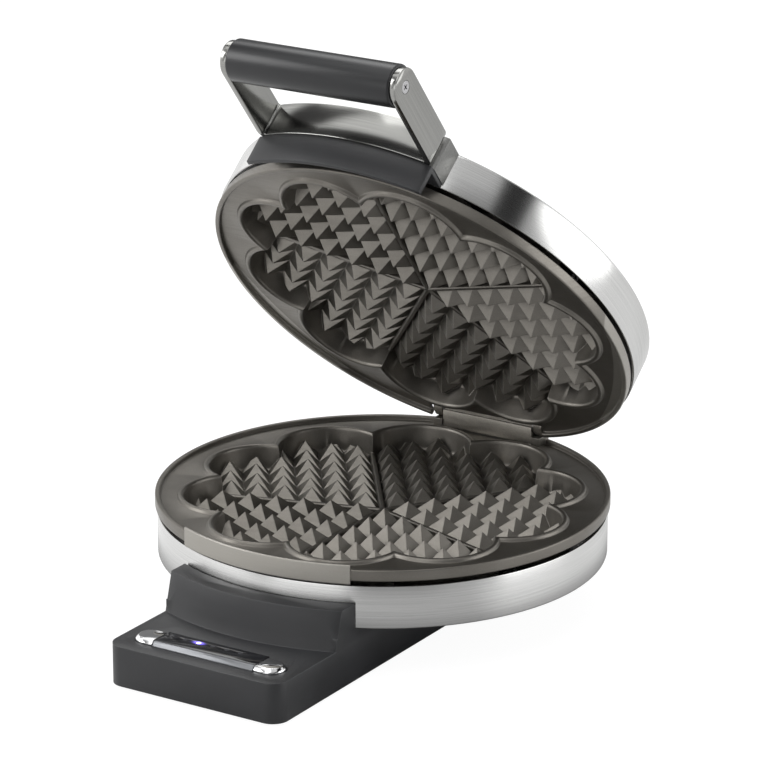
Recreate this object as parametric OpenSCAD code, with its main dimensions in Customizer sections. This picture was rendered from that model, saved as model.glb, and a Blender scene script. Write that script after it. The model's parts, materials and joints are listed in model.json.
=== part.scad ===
// Electric waffle maker with five heart shaped pockets, lid open.
// Front is -Y, up is +Z, the lid turns about a pin along X.

/* [Drum] */
// Outer radius of the lower cooking plate
plate_r = 95; // [90:0.5:100]
// How far the upper plate's edge lies inside the lower one's
upper_step = 0.9; // [0.5:0.05:3]
// How far the lower band lies inside the lower plate's edge
band_step = 0.95; // [0.5:0.05:3]
// How far the lid band stands out beyond the upper plate
lid_overhang = 0.7; // [0.2:0.05:2]
// Thickness of the band sheet
band_t = 0.8; // [0.5:0.1:1.5]
// Height of the lower band
band_h = 18.2; // [15:0.1:24]
// Height of the lid band
lid_h = 17.5; // [17.5:0.1:22]
// Underside of the lower band above the floor
drum_z = 23.15; // [22:0.05:30]
// Air gap between the lower band and the plate edge
edge_gap = 2.3; // [1:0.1:5]
// Air gap between the lid band and the plate edge
lid_gap = 1.6; // [1:0.1:3]
// Rounding of the lid's top edge
lid_round = 1.6; // [0.8:0.1:3]

/* [Cooking plates] */
// Height of a plate's outer edge, seen from the side
rim_h = 4.8; // [3.5:0.1:7]
// Width of the raised rim
rim_w = 2.2; // [1.5:0.1:4]
// Drop from the rim to the flat flange
flange_drop = 2; // [1:0.1:3]
// Drop from the rim to the bead around the clover
bead_drop = 0.4; // [0.2:0.1:1]
// Width of the bead around the clover
bead_w = 2.5; // [1.5:0.1:4]
// Depth of the pocket below the bead
pocket_d = 11.5; // [10:0.1:14]
// Thickness of the pocket floor
floor_t = 2.5; // [2:0.1:4]
// Width of the plate outside the lobes
flange_w = 12; // [9:0.1:15]
// Radius of each lobe
lobe_r = 22.5; // [20:0.1:24]
// Wall left outside the pocket
wall_t = 2.7; // [2:0.1:4]
// Side of one pyramid's rhombic cell
cell = 11; // [9:0.1:14]
// Height of the pyramids
pyramid_h = 7.2; // [5:0.1:7.2]
// Width of a divider between two hearts
divider_w = 3.2; // [2:0.1:5]
// Height of a divider above the pocket floor
divider_h = 7; // [4:0.1:9]
// Gap between the two rims with the lid closed
closed_gap = 0.3; // [0.1:0.05:0.8]
// Half width of the raised lip at the front
lip_half = 39.5; // [30:0.5:45]
// Thickness of the raised lip
lip_t = 1.5; // [1:0.1:3]
// Rise of the raised lip above the rim
lip_rise = 2.4; // [1:0.1:3.4]
// Drop of the raised lip below the plate edge
lip_drop = 1.2; // [0.5:0.1:2]
// Gap between the raised lip and the upper plate
lip_gap = 0.4; // [0.3:0.05:1]

/* [Console] */
// Half width of the console
console_half = 41.2; // [36:0.1:50]
// Front of the console, from the drum's middle
console_front = 141; // [132:0.5:155]
// Distance of the housing's rear inside the plate's edge
rear_inset = 21; // [15:0.5:35]
// Half width of the rear foot bar
bar_half = 52; // [48:0.5:60]
// Depth of the rear foot bar
bar_d = 24; // [20:0.5:40]
// Height of the rear foot bar
bar_h = 14; // [8:0.5:20]
// Top of the console above the floor
console_top = 18.2; // [18:0.1:22]
// Corner radius of the housing
console_round = 7; // [5:0.5:10]
// Wall thickness of the housing
wall = 2.4; // [2:0.1:3]
// Height of the riser above the console
riser_h = 16; // [8:0.5:20]
// Depth of the riser's top in front of the lower band
riser_depth = 9.45; // [7:0.05:12]
// How far the riser's foot stands out beyond its top
riser_slope = 4.5; // [2:0.1:6]
// Gap between the riser and the lower band
riser_gap = 0.8; // [0.3:0.1:2]
// Gap under the housing's lower edge
floor_gap = 1.2; // [0.8:0.1:3]
// Thickness of the bottom cover
cover_t = 2; // [1.6:0.1:3]
// Radius of a rubber foot
foot_r = 6; // [4:0.5:8]

/* [Control bar] */
// Half length of the control bar
bar_x = 35; // [32:0.1:37]
// Half width of the control bar
bar_y = 6.1; // [5:0.1:7]
// Middle of the control bar behind the console's front
bar_inset = 13.8; // [12:0.1:15]
// Rise of the control bar above the console
bar_rise = 2; // [1.2:0.1:3]
// Length of a push button along the bar
button_l = 10.7; // [9:0.1:12]
// Width of the silver strip
strip_w = 2.1; // [1.5:0.1:3]
// Gap between a button and its surround
button_gap = 0.3; // [0.3:0.05:0.6]
// Travel of a push button
button_travel = 1; // [0.6:0.1:1.2]
// Radius of a button stem
stem_r = 2.1; // [1.5:0.1:2.5]
// Gap between a stem and its bore
stem_fit = 0.05; // [0.02:0.01:0.1]
// Distance between two light pipes
pipe_step = 6.6; // [5:0.1:7]
// Place of the lit light pipe along the bar
lit_x = -7.5; // [-8.5:0.1:-6.5]
// Radius of a light pipe
pipe_r = 0.9; // [0.6:0.1:1.2]

/* [Hinge] */
// Distance of the hinge pin inside the plate's edge
hinge_inset = 5.6; // [4.5:0.1:6.5]
// Hinge pin above the floor
hinge_z = 55.1; // [54:0.1:56]
// Angle of the lid from closed
lid_open = 50.6; // [0:0.1:98]
// Radius of the hinge pin
pin_r = 2.5; // [2:0.1:3]
// Gap between the pin and the hinge eyes
pin_fit = 0.05; // [0.02:0.01:0.1]
// Half width of the hinge block
block_half = 22.2; // [18:0.1:26]
// Distance from the hinge pin to the block's front face
block_lead = 5.3; // [4.4:0.1:5.5]
// Depth of the hinge block
block_d = 8.4; // [7:0.1:9]
// Height of the hinge block's front face
block_h = 7.5; // [6:0.1:8]
// Underside of the hinge block above the flange
block_lift = 0.7; // [0.3:0.1:1]
// Thickness of a hinge eye
eye_t = 4; // [3:0.1:5]
// Outer radius of a hinge eye
eye_r = 5; // [4.5:0.1:5.5]
// Gap around the hinge block
block_gap = 0.7; // [0.4:0.1:1]

/* [Handle] */
// Half width over the handle arms
arm_half = 41.2; // [36:0.1:46]
// Thickness of the arms
arm_t = 2.8; // [2:0.1:4]
// Height of the arm strip
arm_h = 15.6; // [12:0.1:16]
// Underside of the arm strip above the lid band's edge
arm_lift = 1.4; // [0.5:0.1:2]
// Depth of the curved strap in front of the lid band
handle_depth = 12.5; // [10:0.1:15]
// Centre of the grip in front of the curved strap
grip_reach = 32; // [26:0.1:38]
// Radius of the grip
grip_r = 8.8; // [7.5:0.1:10]
// How far the black skirt lies inside the strap
skirt_step = 0.8; // [0.5:0.1:2]
// Thickness of the skirt wall
skirt_t = 2.2; // [1.5:0.1:3]
// Height of the skirt wall
skirt_h = 12.8; // [8:0.1:13.5]

/* [Inside] */
// Distance of a heater's ring inside the lobe centres
heater_inset = 8.5; // [6:0.5:12]
// Radius of a heater tube
heater_r = 3.2; // [2.8:0.1:3.3]
// Distance of the plate posts inside the plate's edge
post_inset = 13.5; // [12:0.5:15]
// Radius of a plate post
post_r = 3.5; // [3:0.1:4]
// Radius of a small screw shank
screw_r = 1.5; // [1.2:0.1:1.6]
// Radius of a pan screw shank
bolt_r = 2; // [1.6:0.1:2.1]
// Thickness of the pan sheet
pan_t = 0.8; // [0.6:0.1:1]
// Thickness of a reflector
reflector_t = 0.4; // [0.3:0.1:0.5]
// Small gap between fixed parts
seat = 0.05; // [0.02:0.01:0.1]

/* [Hidden] */
$fn = 96;
over = 1;
upper_r = plate_r - upper_step;
band_r = plate_r - band_step;
lid_r = upper_r + lid_overhang;
lobe_c = plate_r - flange_w - lobe_r;
riser_top_r = band_r + riser_depth;
riser_foot_r = riser_top_r + riser_slope;
riser_in = band_r - 14.05;
pedestal_lead = 4.15;
pedestal_front = band_r + riser_gap + pedestal_lead;
pedestal_wall = 5;
hinge_y = plate_r - hinge_inset;
block_front = hinge_y - block_lead;
strap_r = lid_r + handle_depth;
grip_y = strap_r + grip_reach;
skirt_r = strap_r - skirt_step;
post_c = plate_r - post_inset;
post_rim = 5.5;
housing_rear = plate_r - rear_inset;
heater_c = lobe_c - heater_inset;
bar_mid = console_front - bar_inset;
gland_x = -22;
gland_r = 5.6;
pan_bite = 9;
grip_bite = 12;
terminal_half = 14;
terminal_y = 39;
terminal_d = 5;
terminal_h = 9;
gland_z = 10;
tray_corner = 4;
thread_depth = 6.5;
thread_gap = 0.5;
clip_pitch = 8.6;
clip_half_l = 12;
clip_half_w = 4;
clip_sheet = 0.8;
wire_hole_y = 20;
wire_hole_r = 6;
pin_slot = 0.8;
side_screw_z = 3.5;
bracket_bite = 8;
foot_t = 2;
rim_z = drum_z + band_h + edge_gap + rim_h;
part_z = rim_z + closed_gap / 2;
flange_t = rim_h - flange_drop;
bead_z = rim_z - bead_drop;
floor_z = bead_z - pocket_d;
back_z = floor_z - floor_t;
upper_rim_z = rim_z + closed_gap;
upper_back_z = 2 * part_z - back_z;
lid_z = upper_rim_z + rim_h + lid_gap;
lid_top = lid_z + lid_h;
band_in = band_r - band_t;
lid_in = lid_r - band_t;
lobe_angle = 18;
core_inset = 0.5;
hearts = 5;
heart_step = 360 / hearts;
row_step = cell * sin(heart_step);
rows = 8;
tip_z = floor_z + pyramid_h;
field_gap = 0.15;
field_seat = 0.02;
field_floor = 0.25;
divider_reach = lobe_c * cos(lobe_angle) + lobe_r * 0.56 + over;
half_divider = divider_w / 2;
back_reach = (lid_r - lid_round - hinge_y) * cos(lid_open)
    + (lid_top - lid_round - hinge_z) * sin(lid_open) + lid_round;
rear_y = max(hinge_y + back_reach, plate_r);
mid_y = (console_front - rear_y) / 2;
inner_top = console_top - wall;
pedestal_top = drum_z;
lip_in = 4.5;
pan_z = drum_z + band_t - 0.2;
pan_r = band_in - seat;
pan_top = pan_z + pan_t;
pan_rim_h = 5;
reflector_z = pan_top + 0.2;
screw_x = console_half - 11.2;
front_screw_y = 55;
rear_screw_y = 45;
tower_r = 5;
cover_z = floor_gap + 0.2;
cover_top = cover_z + cover_t;
foot_x = console_half - 11.2;
foot_front = console_front - 13;
foot_rear_x = bar_half - 8.5;
foot_rear_y = housing_rear - 11;
foot_sink = 0.5;
tray_t = 2;
tray_top = inner_top;
tray_z = tray_top - tray_t;
tray_x = console_half - wall - 1;
tray_front = console_front - wall - 0.8;
tray_rear = bar_mid - 11.2;
bar_top = console_top + bar_rise;
cap_under = tray_top + button_travel + 0.1;
bar_inner = bar_x - button_l;
window_half = bar_inner - button_gap;
sill_z = console_top - 0.2;
stem_x = bar_x - bar_y;
clip_t = 0.7;
clip_z = tray_z - 0.1 - clip_t;
switch_top = clip_z - button_travel - 0.1;
board_t = 1.6;
board_top = switch_top - 2;
board_z = board_top - board_t;
board_x = console_half - wall - 1.4;
board_rear = bar_mid - 25.2;
board_screw_x = console_half - 8.2;
board_screw_y = bar_mid - 20.2;
tray_screw_x = console_half - 6.7;
tray_screw_y = console_front - 7.6;
eye_gap = 0.8;
eye_in = block_half + eye_gap;
eye_out = eye_in + eye_t;
pin_half = eye_out + 1.2;
ring_t = 1;
ring_z = upper_back_z + 1.5;
strap_in = strap_r - arm_t;
arm_z = lid_z + arm_lift;
arm_mid = arm_z + arm_h / 2;
grip_half = arm_half - arm_t - seat;
strap_screw_z = ring_z + side_screw_z;
handle_angle = 14;
bracket_x = 6;
bracket_y = block_front - 4.6;
bracket_front = bracket_y - 5.5;
block_foot = 4;
bracket_lift = 0.7;
bracket_t = 2.5;
block_screw_x = 14;
heater_z = back_z - heater_r - seat;
heater_gap_angle = 15;
seat_gap = heater_c * sin(heater_gap_angle) + heater_r + 0.6;
post_angles = [-90, -18, 54, 126, 198];
clip_angles = [18, 126, 234, 306];

module base_place() {
    translate([0, mid_y, 0]) children();
}

module lid_place() {
    translate([0, mid_y, 0])
        translate([0, hinge_y, hinge_z])
            rotate([-lid_open, 0, 0])
                translate([0, -hinge_y, -hinge_z]) children();
}

module turned_over() {
    translate([0, 0, 2 * part_z]) mirror([0, 0, 1]) children();
}

module tube(outer, inner, height) {
    difference() {
        cylinder(r = outer, h = height);
        translate([0, 0, -over]) cylinder(r = inner, h = height + 2 * over);
    }
}

module at_angle(angle, distance, height) {
    rotate([0, 0, angle]) translate([distance, 0, height]) children();
}

module block_between(x1, x2, y1, y2, z1, z2) {
    translate([x1, y1, z1]) cube([x2 - x1, y2 - y1, z2 - z1]);
}

module round_box(half_x, y1, y2, z1, z2, corner) {
    block_between(-half_x + corner, half_x - corner, y1, y2, z1, z2);
    block_between(-half_x, half_x, y1 + corner, y2 - corner, z1, z2);
    for (x = [-half_x + corner, half_x - corner])
        for (y = [y1 + corner, y2 - corner])
            translate([x, y, z1]) cylinder(r = corner, h = z2 - z1);
}

module clover(radius, z1, z2) {
    intersection() {
        translate([0, 0, z1]) cylinder(r = lobe_c + radius + over, h = z2 - z1);
        union() {
            translate([0, 0, z1 - over]) cylinder(r = lobe_c - core_inset, h = z2 - z1 + 2 * over);
            for (i = [0 : 2 * hearts - 1])
                at_angle(lobe_angle * 2 * i, lobe_c, z1 - over) cylinder(r = radius, h = z2 - z1 + 2 * over);
        }
    }
}

module heart_field(axis_angle) {
    intersection() {
        rotate([0, 0, axis_angle - heart_step / 2]) ridges();
        rotate([0, 0, axis_angle + heart_step / 2]) mirror([0, 1, 0]) ridges();
        union() {
            translate([0, 0, floor_z - over]) cylinder(r = lobe_c - core_inset, h = pocket_d);
            for (side = [-lobe_angle, lobe_angle])
                at_angle(axis_angle + side, lobe_c, floor_z - over)
                    cylinder(r = lobe_r - field_gap, h = pocket_d);
        }
    }
}

module heart_fields() {
    for (i = [0 : hearts - 1]) heart_field(90 + heart_step * i);
}

module ridges() {
    rotate([90, 0, 90]) linear_extrude(height = lobe_c + lobe_r + over)
        polygon(concat(
            [[half_divider + field_gap, floor_z + field_seat]],
            [for (i = [0 : rows - 1]) each [
                [half_divider + i * row_step + field_gap, floor_z + field_floor],
                [half_divider + (i + 0.5) * row_step, tip_z],
                [half_divider + (i + 1) * row_step - field_gap, floor_z + field_floor]
            ]],
            [[half_divider + rows * row_step - field_gap, floor_z + field_seat]]
        ));
}

module dividers() {
    for (i = [0 : hearts - 1])
        rotate([0, 0, -90 + heart_step * i])
            block_between(0, divider_reach, -half_divider, half_divider, floor_z - over, floor_z + divider_h);
}

module plate_core(edge_r) {
    difference() {
        union() {
            translate([0, 0, rim_z - rim_h]) cylinder(r = edge_r, h = flange_t);
            translate([0, 0, rim_z - rim_h]) tube(edge_r, edge_r - rim_w, rim_h);
            clover(lobe_r + bead_w, rim_z - rim_h, bead_z);
            clover(lobe_r + wall_t, back_z, rim_z - rim_h + over / 2);
        }
        clover(lobe_r, floor_z, rim_z + over);
    }
    dividers();
}

module heater_seat() {
    play = 0.4;
    rib = 1.8;
    difference() {
        translate([0, 0, back_z - heater_r]) union() {
            tube(heater_c - heater_r - play, heater_c - heater_r - play - rib, heater_r + over);
            tube(heater_c + heater_r + play + rib, heater_c + heater_r + play, heater_r + over);
        }
        block_between(-seat_gap, seat_gap, 0, lobe_c + lobe_r, back_z - heater_r - over, back_z + over / 2);
    }
}

module clip_bosses() {
    for (a = clip_angles)
        for (d = [heater_c - clip_pitch, heater_c + clip_pitch])
            at_angle(a, d, clip_face_z()) cylinder(r = 3, h = back_z - clip_face_z() + over);
}

module clip_holes() {
    for (a = clip_angles)
        for (d = [heater_c - clip_pitch, heater_c + clip_pitch])
            at_angle(a, d, clip_face_z() - over) cylinder(r = screw_r + seat, h = 6 + over);
}

function clip_face_z() = heater_z - heater_r - seat;

module tubular_heater() {
    rotate([0, 0, 90 + heater_gap_angle])
        rotate_extrude(angle = 360 - 2 * heater_gap_angle)
            translate([heater_c, heater_z]) circle(r = heater_r);
    for (side = [-1, 1])
        translate([side * heater_c * sin(heater_gap_angle), heater_c * cos(heater_gap_angle) - 0.3, heater_z])
            rotate([-90, 0, 0]) {
                cylinder(r = heater_r, h = 12);
                cylinder(r = 1.2, h = 17);
            }
}

module heater_straps() {
    for (a = clip_angles)
        rotate([0, 0, a]) difference() {
            block_between(heater_c - clip_half_l, heater_c + clip_half_l, -clip_half_w, clip_half_w,
                clip_face_z() - clip_sheet, clip_face_z());
            for (d = [heater_c - clip_pitch, heater_c + clip_pitch])
                translate([d, 0, clip_face_z() - clip_sheet - over])
                    cylinder(r = screw_r + 0.1, h = clip_sheet + 2 * over);
        }
}

module strap_bolts() {
    for (a = clip_angles)
        for (d = [heater_c - clip_pitch, heater_c + clip_pitch])
            at_angle(a, d, clip_face_z() - clip_sheet) {
                cylinder(r = screw_r, h = 6);
                translate([0, 0, -1.2]) pan_head(2.6, 1.2);
            }
}

module pan_head(radius, height) {
    difference() {
        cylinder(r = radius, h = height);
        translate([0, 0, -over]) cross_slot(radius * 1.2, radius * 0.3, height * 0.45 + over);
    }
}

module cross_slot(length, width, depth) {
    block_between(-length / 2, length / 2, -width / 2, width / 2, 0, depth);
    block_between(-width / 2, width / 2, -length / 2, length / 2, 0, depth);
}

module housing_plan(inset, z1, z2) {
    round_box(console_half - inset, -console_front + inset, housing_rear - inset,
        z1, z2, console_round - inset);
}

module bar_plan(inset, z1, z2) {
    round_box(bar_half - inset, housing_rear - bar_d + inset, housing_rear - inset,
        z1, z2, console_round - inset);
}

module towers(radius, z1, z2) {
    for (x = [-screw_x, screw_x])
        for (y = [-front_screw_y, rear_screw_y])
            translate([x, y, z1]) cylinder(r = radius, h = z2 - z1);
}

module slot_plan(grow, z1, z2) {
    block_between(-stem_x, stem_x, -bar_mid - bar_y - grow, -bar_mid + bar_y + grow, z1, z2);
    for (x = [-stem_x, stem_x])
        translate([x, -bar_mid, z1]) cylinder(r = bar_y + grow, h = z2 - z1);
}

module base_housing() {
    color([0.09, 0.09, 0.1]) base_place() difference() {
        union() {
            housing_plan(0, floor_gap, console_top);
            bar_plan(0, floor_gap, bar_h);
            intersection() {
                housing_plan(0, floor_gap, pedestal_top);
                block_between(-console_half, console_half, -pedestal_front, housing_rear,
                    floor_gap, pedestal_top);
            }
            intersection() {
                translate([0, 0, console_top - over])
                    cylinder(r1 = riser_foot_r, r2 = riser_top_r, h = riser_h + over);
                block_between(-console_half, console_half, -riser_foot_r, -riser_in,
                    console_top - over, console_top + riser_h);
            }
            intersection() {
                housing_plan(wall, pedestal_top - over, pan_z);
                translate([0, 0, pedestal_top - over]) cylinder(r = band_in - lip_in - 0.5, h = 2 * over);
            }
        }
        translate([0, 0, pedestal_top]) tube(band_r + riser_gap, band_in - lip_in - 0.5, riser_h + 10);
        translate([0, 0, pan_z]) cylinder(r = band_r + riser_gap, h = riser_h + 10);
        difference() {
            union() {
                housing_plan(wall, floor_gap - over, inner_top);
                bar_plan(wall, floor_gap - over, bar_h - wall);
                intersection() {
                    housing_plan(wall, floor_gap - over, pedestal_top - wall);
                    block_between(-console_half, console_half, -pedestal_front + pedestal_wall, housing_rear,
                        0, pedestal_top - wall);
                }
                intersection() {
                    translate([0, 0, inner_top - over])
                        tube(riser_top_r - wall, band_r + riser_gap + wall, riser_h + over);
                    block_between(-console_half + wall, console_half - wall, -riser_foot_r, -riser_in,
                        0, console_top + 2 * riser_h);
                }
            }
            towers(tower_r, cover_top, pedestal_top);
            for (x = [-board_screw_x, board_screw_x])
                translate([x, -board_screw_y, board_top]) cylinder(r = 3, h = inner_top - board_top + over);
        }
        towers(screw_r + seat, cover_top - over, pan_z + over);
        slot_plan(button_gap, inner_top - over, console_top + over);
        for (x = [-board_screw_x, board_screw_x])
            translate([x, -board_screw_y, board_top - over]) cylinder(r = screw_r - 0.3, h = 5);
        at_angle(-90, post_c, pedestal_top - wall - over) cylinder(r = 4.4, h = 2 * wall);
        translate([gland_x, housing_rear - wall - over, gland_z]) rotate([-90, 0, 0])
            cylinder(r = 4.5, h = wall + 2 * over);
    }
}

module base_cover() {
    color([0.1, 0.1, 0.11]) base_place() difference() {
        union() {
            housing_plan(wall + 0.3, cover_z, cover_top);
            bar_plan(wall + 0.3, cover_z, cover_top);
        }
        for (x = [-screw_x, screw_x])
            for (y = [-front_screw_y, rear_screw_y])
                translate([x, y, cover_z - over]) {
                    cylinder(r = screw_r + 0.2, h = cover_t + 2 * over);
                    cylinder(r = 3.2, h = over + 1.1);
                }
        foot_spots() translate([0, 0, cover_z - over]) cylinder(r = foot_r + seat, h = over + foot_sink);
        for (x = [-12 : 6 : 12])
            block_between(x - 1, x + 1, -30, 30, cover_z - over, cover_top + over);
    }
}

module foot_spots() {
    for (side = [-1, 1]) {
        translate([side * foot_x, -foot_front, 0]) children();
        translate([side * foot_rear_x, foot_rear_y, 0]) children();
    }
}

module foot_pads() {
    color([0.05, 0.05, 0.05]) base_place()
        foot_spots() {
            translate([0, 0, 0.4]) cylinder(r = foot_r, h = cover_z + foot_sink - 0.4);
            cylinder(r1 = foot_r - 0.4, r2 = foot_r, h = 0.4);
        }
}

module cover_screws() {
    color([0.6, 0.6, 0.62]) base_place()
        for (x = [-screw_x, screw_x])
            for (y = [-front_screw_y, rear_screw_y])
                translate([x, y, cover_z - 0.1]) {
                    cylinder(r = screw_r, h = 7);
                    pan_head(2.9, 1.15);
                }
}

module panel_tray() {
    color([0.08, 0.08, 0.09]) base_place() difference() {
        union() {
            round_box(tray_x, -tray_front, -tray_rear, tray_z, tray_top, tray_corner);
            block_between(-window_half, window_half, -bar_mid - bar_y, -bar_mid + bar_y, tray_z, sill_z);
            for (x = [-tray_screw_x, tray_screw_x])
                translate([x, -tray_screw_y, board_top]) cylinder(r = 2.6, h = tray_z - board_top + over / 2);
        }
        for (x = [-stem_x, stem_x])
            translate([x, -bar_mid, tray_z - over]) cylinder(r = stem_r + stem_fit, h = tray_t + 2 * over);
        for (x = [-tray_screw_x, tray_screw_x])
            translate([x, -tray_screw_y, board_top - over]) cylinder(r = screw_r - 0.3, h = 4.5);
        block_between(-window_half - over, window_half + over, -bar_mid - bar_y - over,
            -bar_mid - bar_y + strip_w, tray_top, sill_z + over);
        pipe_spots() translate([0, 0, tray_z - over]) cylinder(r = pipe_r + 0.1, h = 8);
    }
}

module pipe_spots() {
    for (i = [-2 : 3])
        translate([lit_x + i * pipe_step, -bar_mid + 2.8, 0]) children();
}

module panel_window() {
    color([0.02, 0.02, 0.025]) base_place() difference() {
        block_between(-window_half, window_half, -bar_mid - bar_y + strip_w + seat,
            -bar_mid + bar_y, sill_z, bar_top - 0.1);
        pipe_spots() translate([0, 0, sill_z - over]) cylinder(r = pipe_r + 0.1, h = 6);
    }
}

module panel_strip() {
    color([0.75, 0.75, 0.77]) base_place()
        translate([-window_half, 0, 0]) rotate([90, 0, 90]) linear_extrude(height = 2 * window_half)
            polygon([
                [-bar_mid - bar_y, tray_top],
                [-bar_mid - bar_y + strip_w, tray_top],
                [-bar_mid - bar_y + strip_w, bar_top - 0.1],
                [-bar_mid - bar_y + strip_w * 0.7, bar_top - 0.1],
                [-bar_mid - bar_y, console_top + 0.1]
            ]);
}

module light_pipe() {
    cylinder(r = pipe_r, h = bar_top - 0.1 - board_top - 1.3);
}

module light_pipes() {
    color([0.3, 0.3, 0.33]) base_place()
        for (i = [-2, -1, 1, 2, 3])
            translate([lit_x + i * pipe_step, -bar_mid + 2.8, board_top + 1.3]) light_pipe();
}

module light_pipe_lit() {
    color([0.3, 0.3, 1]) base_place()
        translate([lit_x, -bar_mid + 2.8, board_top + 1.3]) light_pipe();
}

module indicator_leds() {
    color([0.85, 0.85, 0.8]) base_place() pipe_spots()
        block_between(-1, 1, -0.8, 0.8, board_top, board_top + 1.2);
}

module button_body(side) {
    inner = side > 0 ? bar_inner : -stem_x;
    outer = side > 0 ? stem_x : -bar_inner;
    left = side > 0 ? bar_inner : -bar_x - over;
    right = side > 0 ? bar_x + over : -bar_inner;
    bevel = 1.4;
    intersection() {
        block_between(left, right, -bar_mid - bar_y - over, -bar_mid + bar_y + over,
            cap_under - over, bar_top + over);
        union() {
            translate([side * stem_x, -bar_mid, cap_under])
                cylinder(r = bar_y, h = bar_top - cap_under - bevel);
            translate([side * stem_x, -bar_mid, bar_top - bevel])
                cylinder(r1 = bar_y, r2 = bar_y - bevel, h = bevel);
            rotate([90, 0, 90]) translate([0, 0, inner]) linear_extrude(height = outer - inner)
                polygon([
                    [-bar_mid - bar_y, cap_under],
                    [-bar_mid + bar_y, cap_under],
                    [-bar_mid + bar_y, bar_top - bevel],
                    [-bar_mid + bar_y - bevel, bar_top],
                    [-bar_mid - bar_y + bevel, bar_top],
                    [-bar_mid - bar_y, bar_top - bevel]
                ]);
        }
    }
    translate([side * stem_x, -bar_mid, clip_z]) {
        cylinder(r = stem_r, h = cap_under - clip_z + over / 2);
        cylinder(r = stem_r + 0.7, h = clip_t);
    }
}

module button_minus() {
    color([0.85, 0.86, 0.88]) base_place() button_body(-1);
}

module button_plus() {
    color([0.85, 0.86, 0.88]) base_place() button_body(1);
}

module control_board() {
    color([0.1, 0.35, 0.16]) base_place() difference() {
        round_box(board_x, -tray_front, -board_rear, board_z, board_top, tray_corner);
        for (x = [-board_screw_x, board_screw_x])
            translate([x, -board_screw_y, board_z - over]) cylinder(r = screw_r, h = board_t + 2 * over);
        for (x = [-tray_screw_x, tray_screw_x])
            translate([x, -tray_screw_y, board_z - over]) cylinder(r = screw_r, h = board_t + 2 * over);
    }
}

module board_screws() {
    color([0.65, 0.65, 0.67]) base_place() {
        for (x = [-board_screw_x, board_screw_x])
            translate([x, -board_screw_y, board_z]) board_screw();
        for (x = [-tray_screw_x, tray_screw_x])
            translate([x, -tray_screw_y, board_z]) board_screw();
    }
}

module board_screw() {
    cylinder(r = screw_r - 0.35, h = board_t + 3);
    translate([0, 0, -1.2]) pan_head(2.3, 1.2);
}

module key_switches() {
    color([0.16, 0.16, 0.17]) base_place()
        for (x = [-stem_x, stem_x])
            translate([x, -bar_mid, board_top]) {
                translate([-3, -3, 0]) cube([6, 6, 1.5]);
                cylinder(r = 1.6, h = switch_top - board_top);
            }
}

module power_relay() {
    color([0.75, 0.75, 0.72]) base_place()
        block_between(-10, 10, -board_rear - 10, -board_rear - 2, board_top, board_top + 4);
}

module terminal_block() {
    color([0.9, 0.9, 0.86]) base_place() difference() {
        block_between(-terminal_half, terminal_half, terminal_y - terminal_d, terminal_y + terminal_d,
            cover_top, cover_top + terminal_h);
        for (x = [-8, 0, 8])
            translate([x, terminal_y, cover_top + 5]) {
                cylinder(r = screw_r + 0.3, h = 10);
                translate([0, 10, -1.5]) rotate([90, 0, 0]) cylinder(r = 1.5, h = 20);
            }
    }
}

module terminal_screws() {
    color([0.75, 0.6, 0.3]) base_place()
        for (x = [-8, 0, 8])
            translate([x, terminal_y, cover_top + 5.1]) difference() {
                cylinder(r = screw_r + 0.2, h = 3.2);
                translate([0, 0, 2.4]) block_between(-2, 2, -0.3, 0.3, 0, 2);
            }
}

module cord_gland() {
    color([0.06, 0.06, 0.06]) base_place()
        translate([gland_x, housing_rear, gland_z]) rotate([-90, 0, 0]) difference() {
            union() {
                translate([0, 0, -wall - 3]) cylinder(r = 4.4, h = wall + 3.5);
                translate([0, 0, 0.1]) cylinder(r = gland_r, h = 1.6);
                translate([0, 0, -wall - 3]) cylinder(r = gland_r, h = 2.8);
            }
            translate([0, 0, -wall - 4]) cylinder(r = 2.9, h = wall + 8);
        }
}

module pan_screws() {
    color([0.7, 0.7, 0.72]) base_place()
        for (x = [-screw_x, screw_x])
            for (y = [-front_screw_y, rear_screw_y])
                translate([x, y, pan_top]) {
                    translate([0, 0, -pan_bite]) cylinder(r = screw_r, h = pan_bite);
                    mirror([0, 0, 1]) translate([0, 0, -1.5]) pan_head(3, 1.5);
                }
}

module lower_band() {
    color([0.74, 0.74, 0.75]) base_place() {
        translate([0, 0, drum_z]) tube(band_r, band_in, band_h);
        translate([0, 0, drum_z]) tube(band_r, band_in - lip_in, band_t - 0.2);
    }
}

module lower_pan() {
    color([0.62, 0.62, 0.63]) base_place() difference() {
        union() {
            translate([0, 0, pan_z]) cylinder(r = pan_r, h = pan_t);
            translate([0, 0, pan_z]) tube(pan_r, pan_r - pan_t, pan_rim_h);
        }
        translate([0, 0, pan_z - over]) towers(screw_r + 0.2, 0, 5);
        for (a = post_angles)
            at_angle(a, post_c, pan_z - over) cylinder(r = bolt_r + 0.2, h = 5);
        for (x = [-block_screw_x, block_screw_x])
            translate([x, bracket_y, pan_z - over]) cylinder(r = bolt_r + 0.2, h = 5);
        translate([0, wire_hole_y, pan_z - over]) cylinder(r = wire_hole_r, h = 5);
    }
}

module lower_standoffs() {
    color([0.68, 0.68, 0.7]) base_place()
        for (a = post_angles)
            at_angle(a, post_c, pan_top) tube(post_r, bolt_r + 0.2, back_z + 1 - pan_top);
}

module plate_bolt(length) {
    cylinder(r = bolt_r, h = length);
    translate([0, 0, -2]) pan_head(3.6, 2);
}

module lower_plate_screws() {
    color([0.7, 0.7, 0.72]) base_place()
        for (a = post_angles)
            at_angle(a, post_c, pan_z) plate_bolt(back_z + over + thread_depth - thread_gap - pan_z);
}

module plate_posts(z1) {
    for (a = post_angles)
        at_angle(a, post_c, z1) cylinder(r = post_r + 0.6, h = rim_z - rim_h - z1 + over / 2);
}

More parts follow.
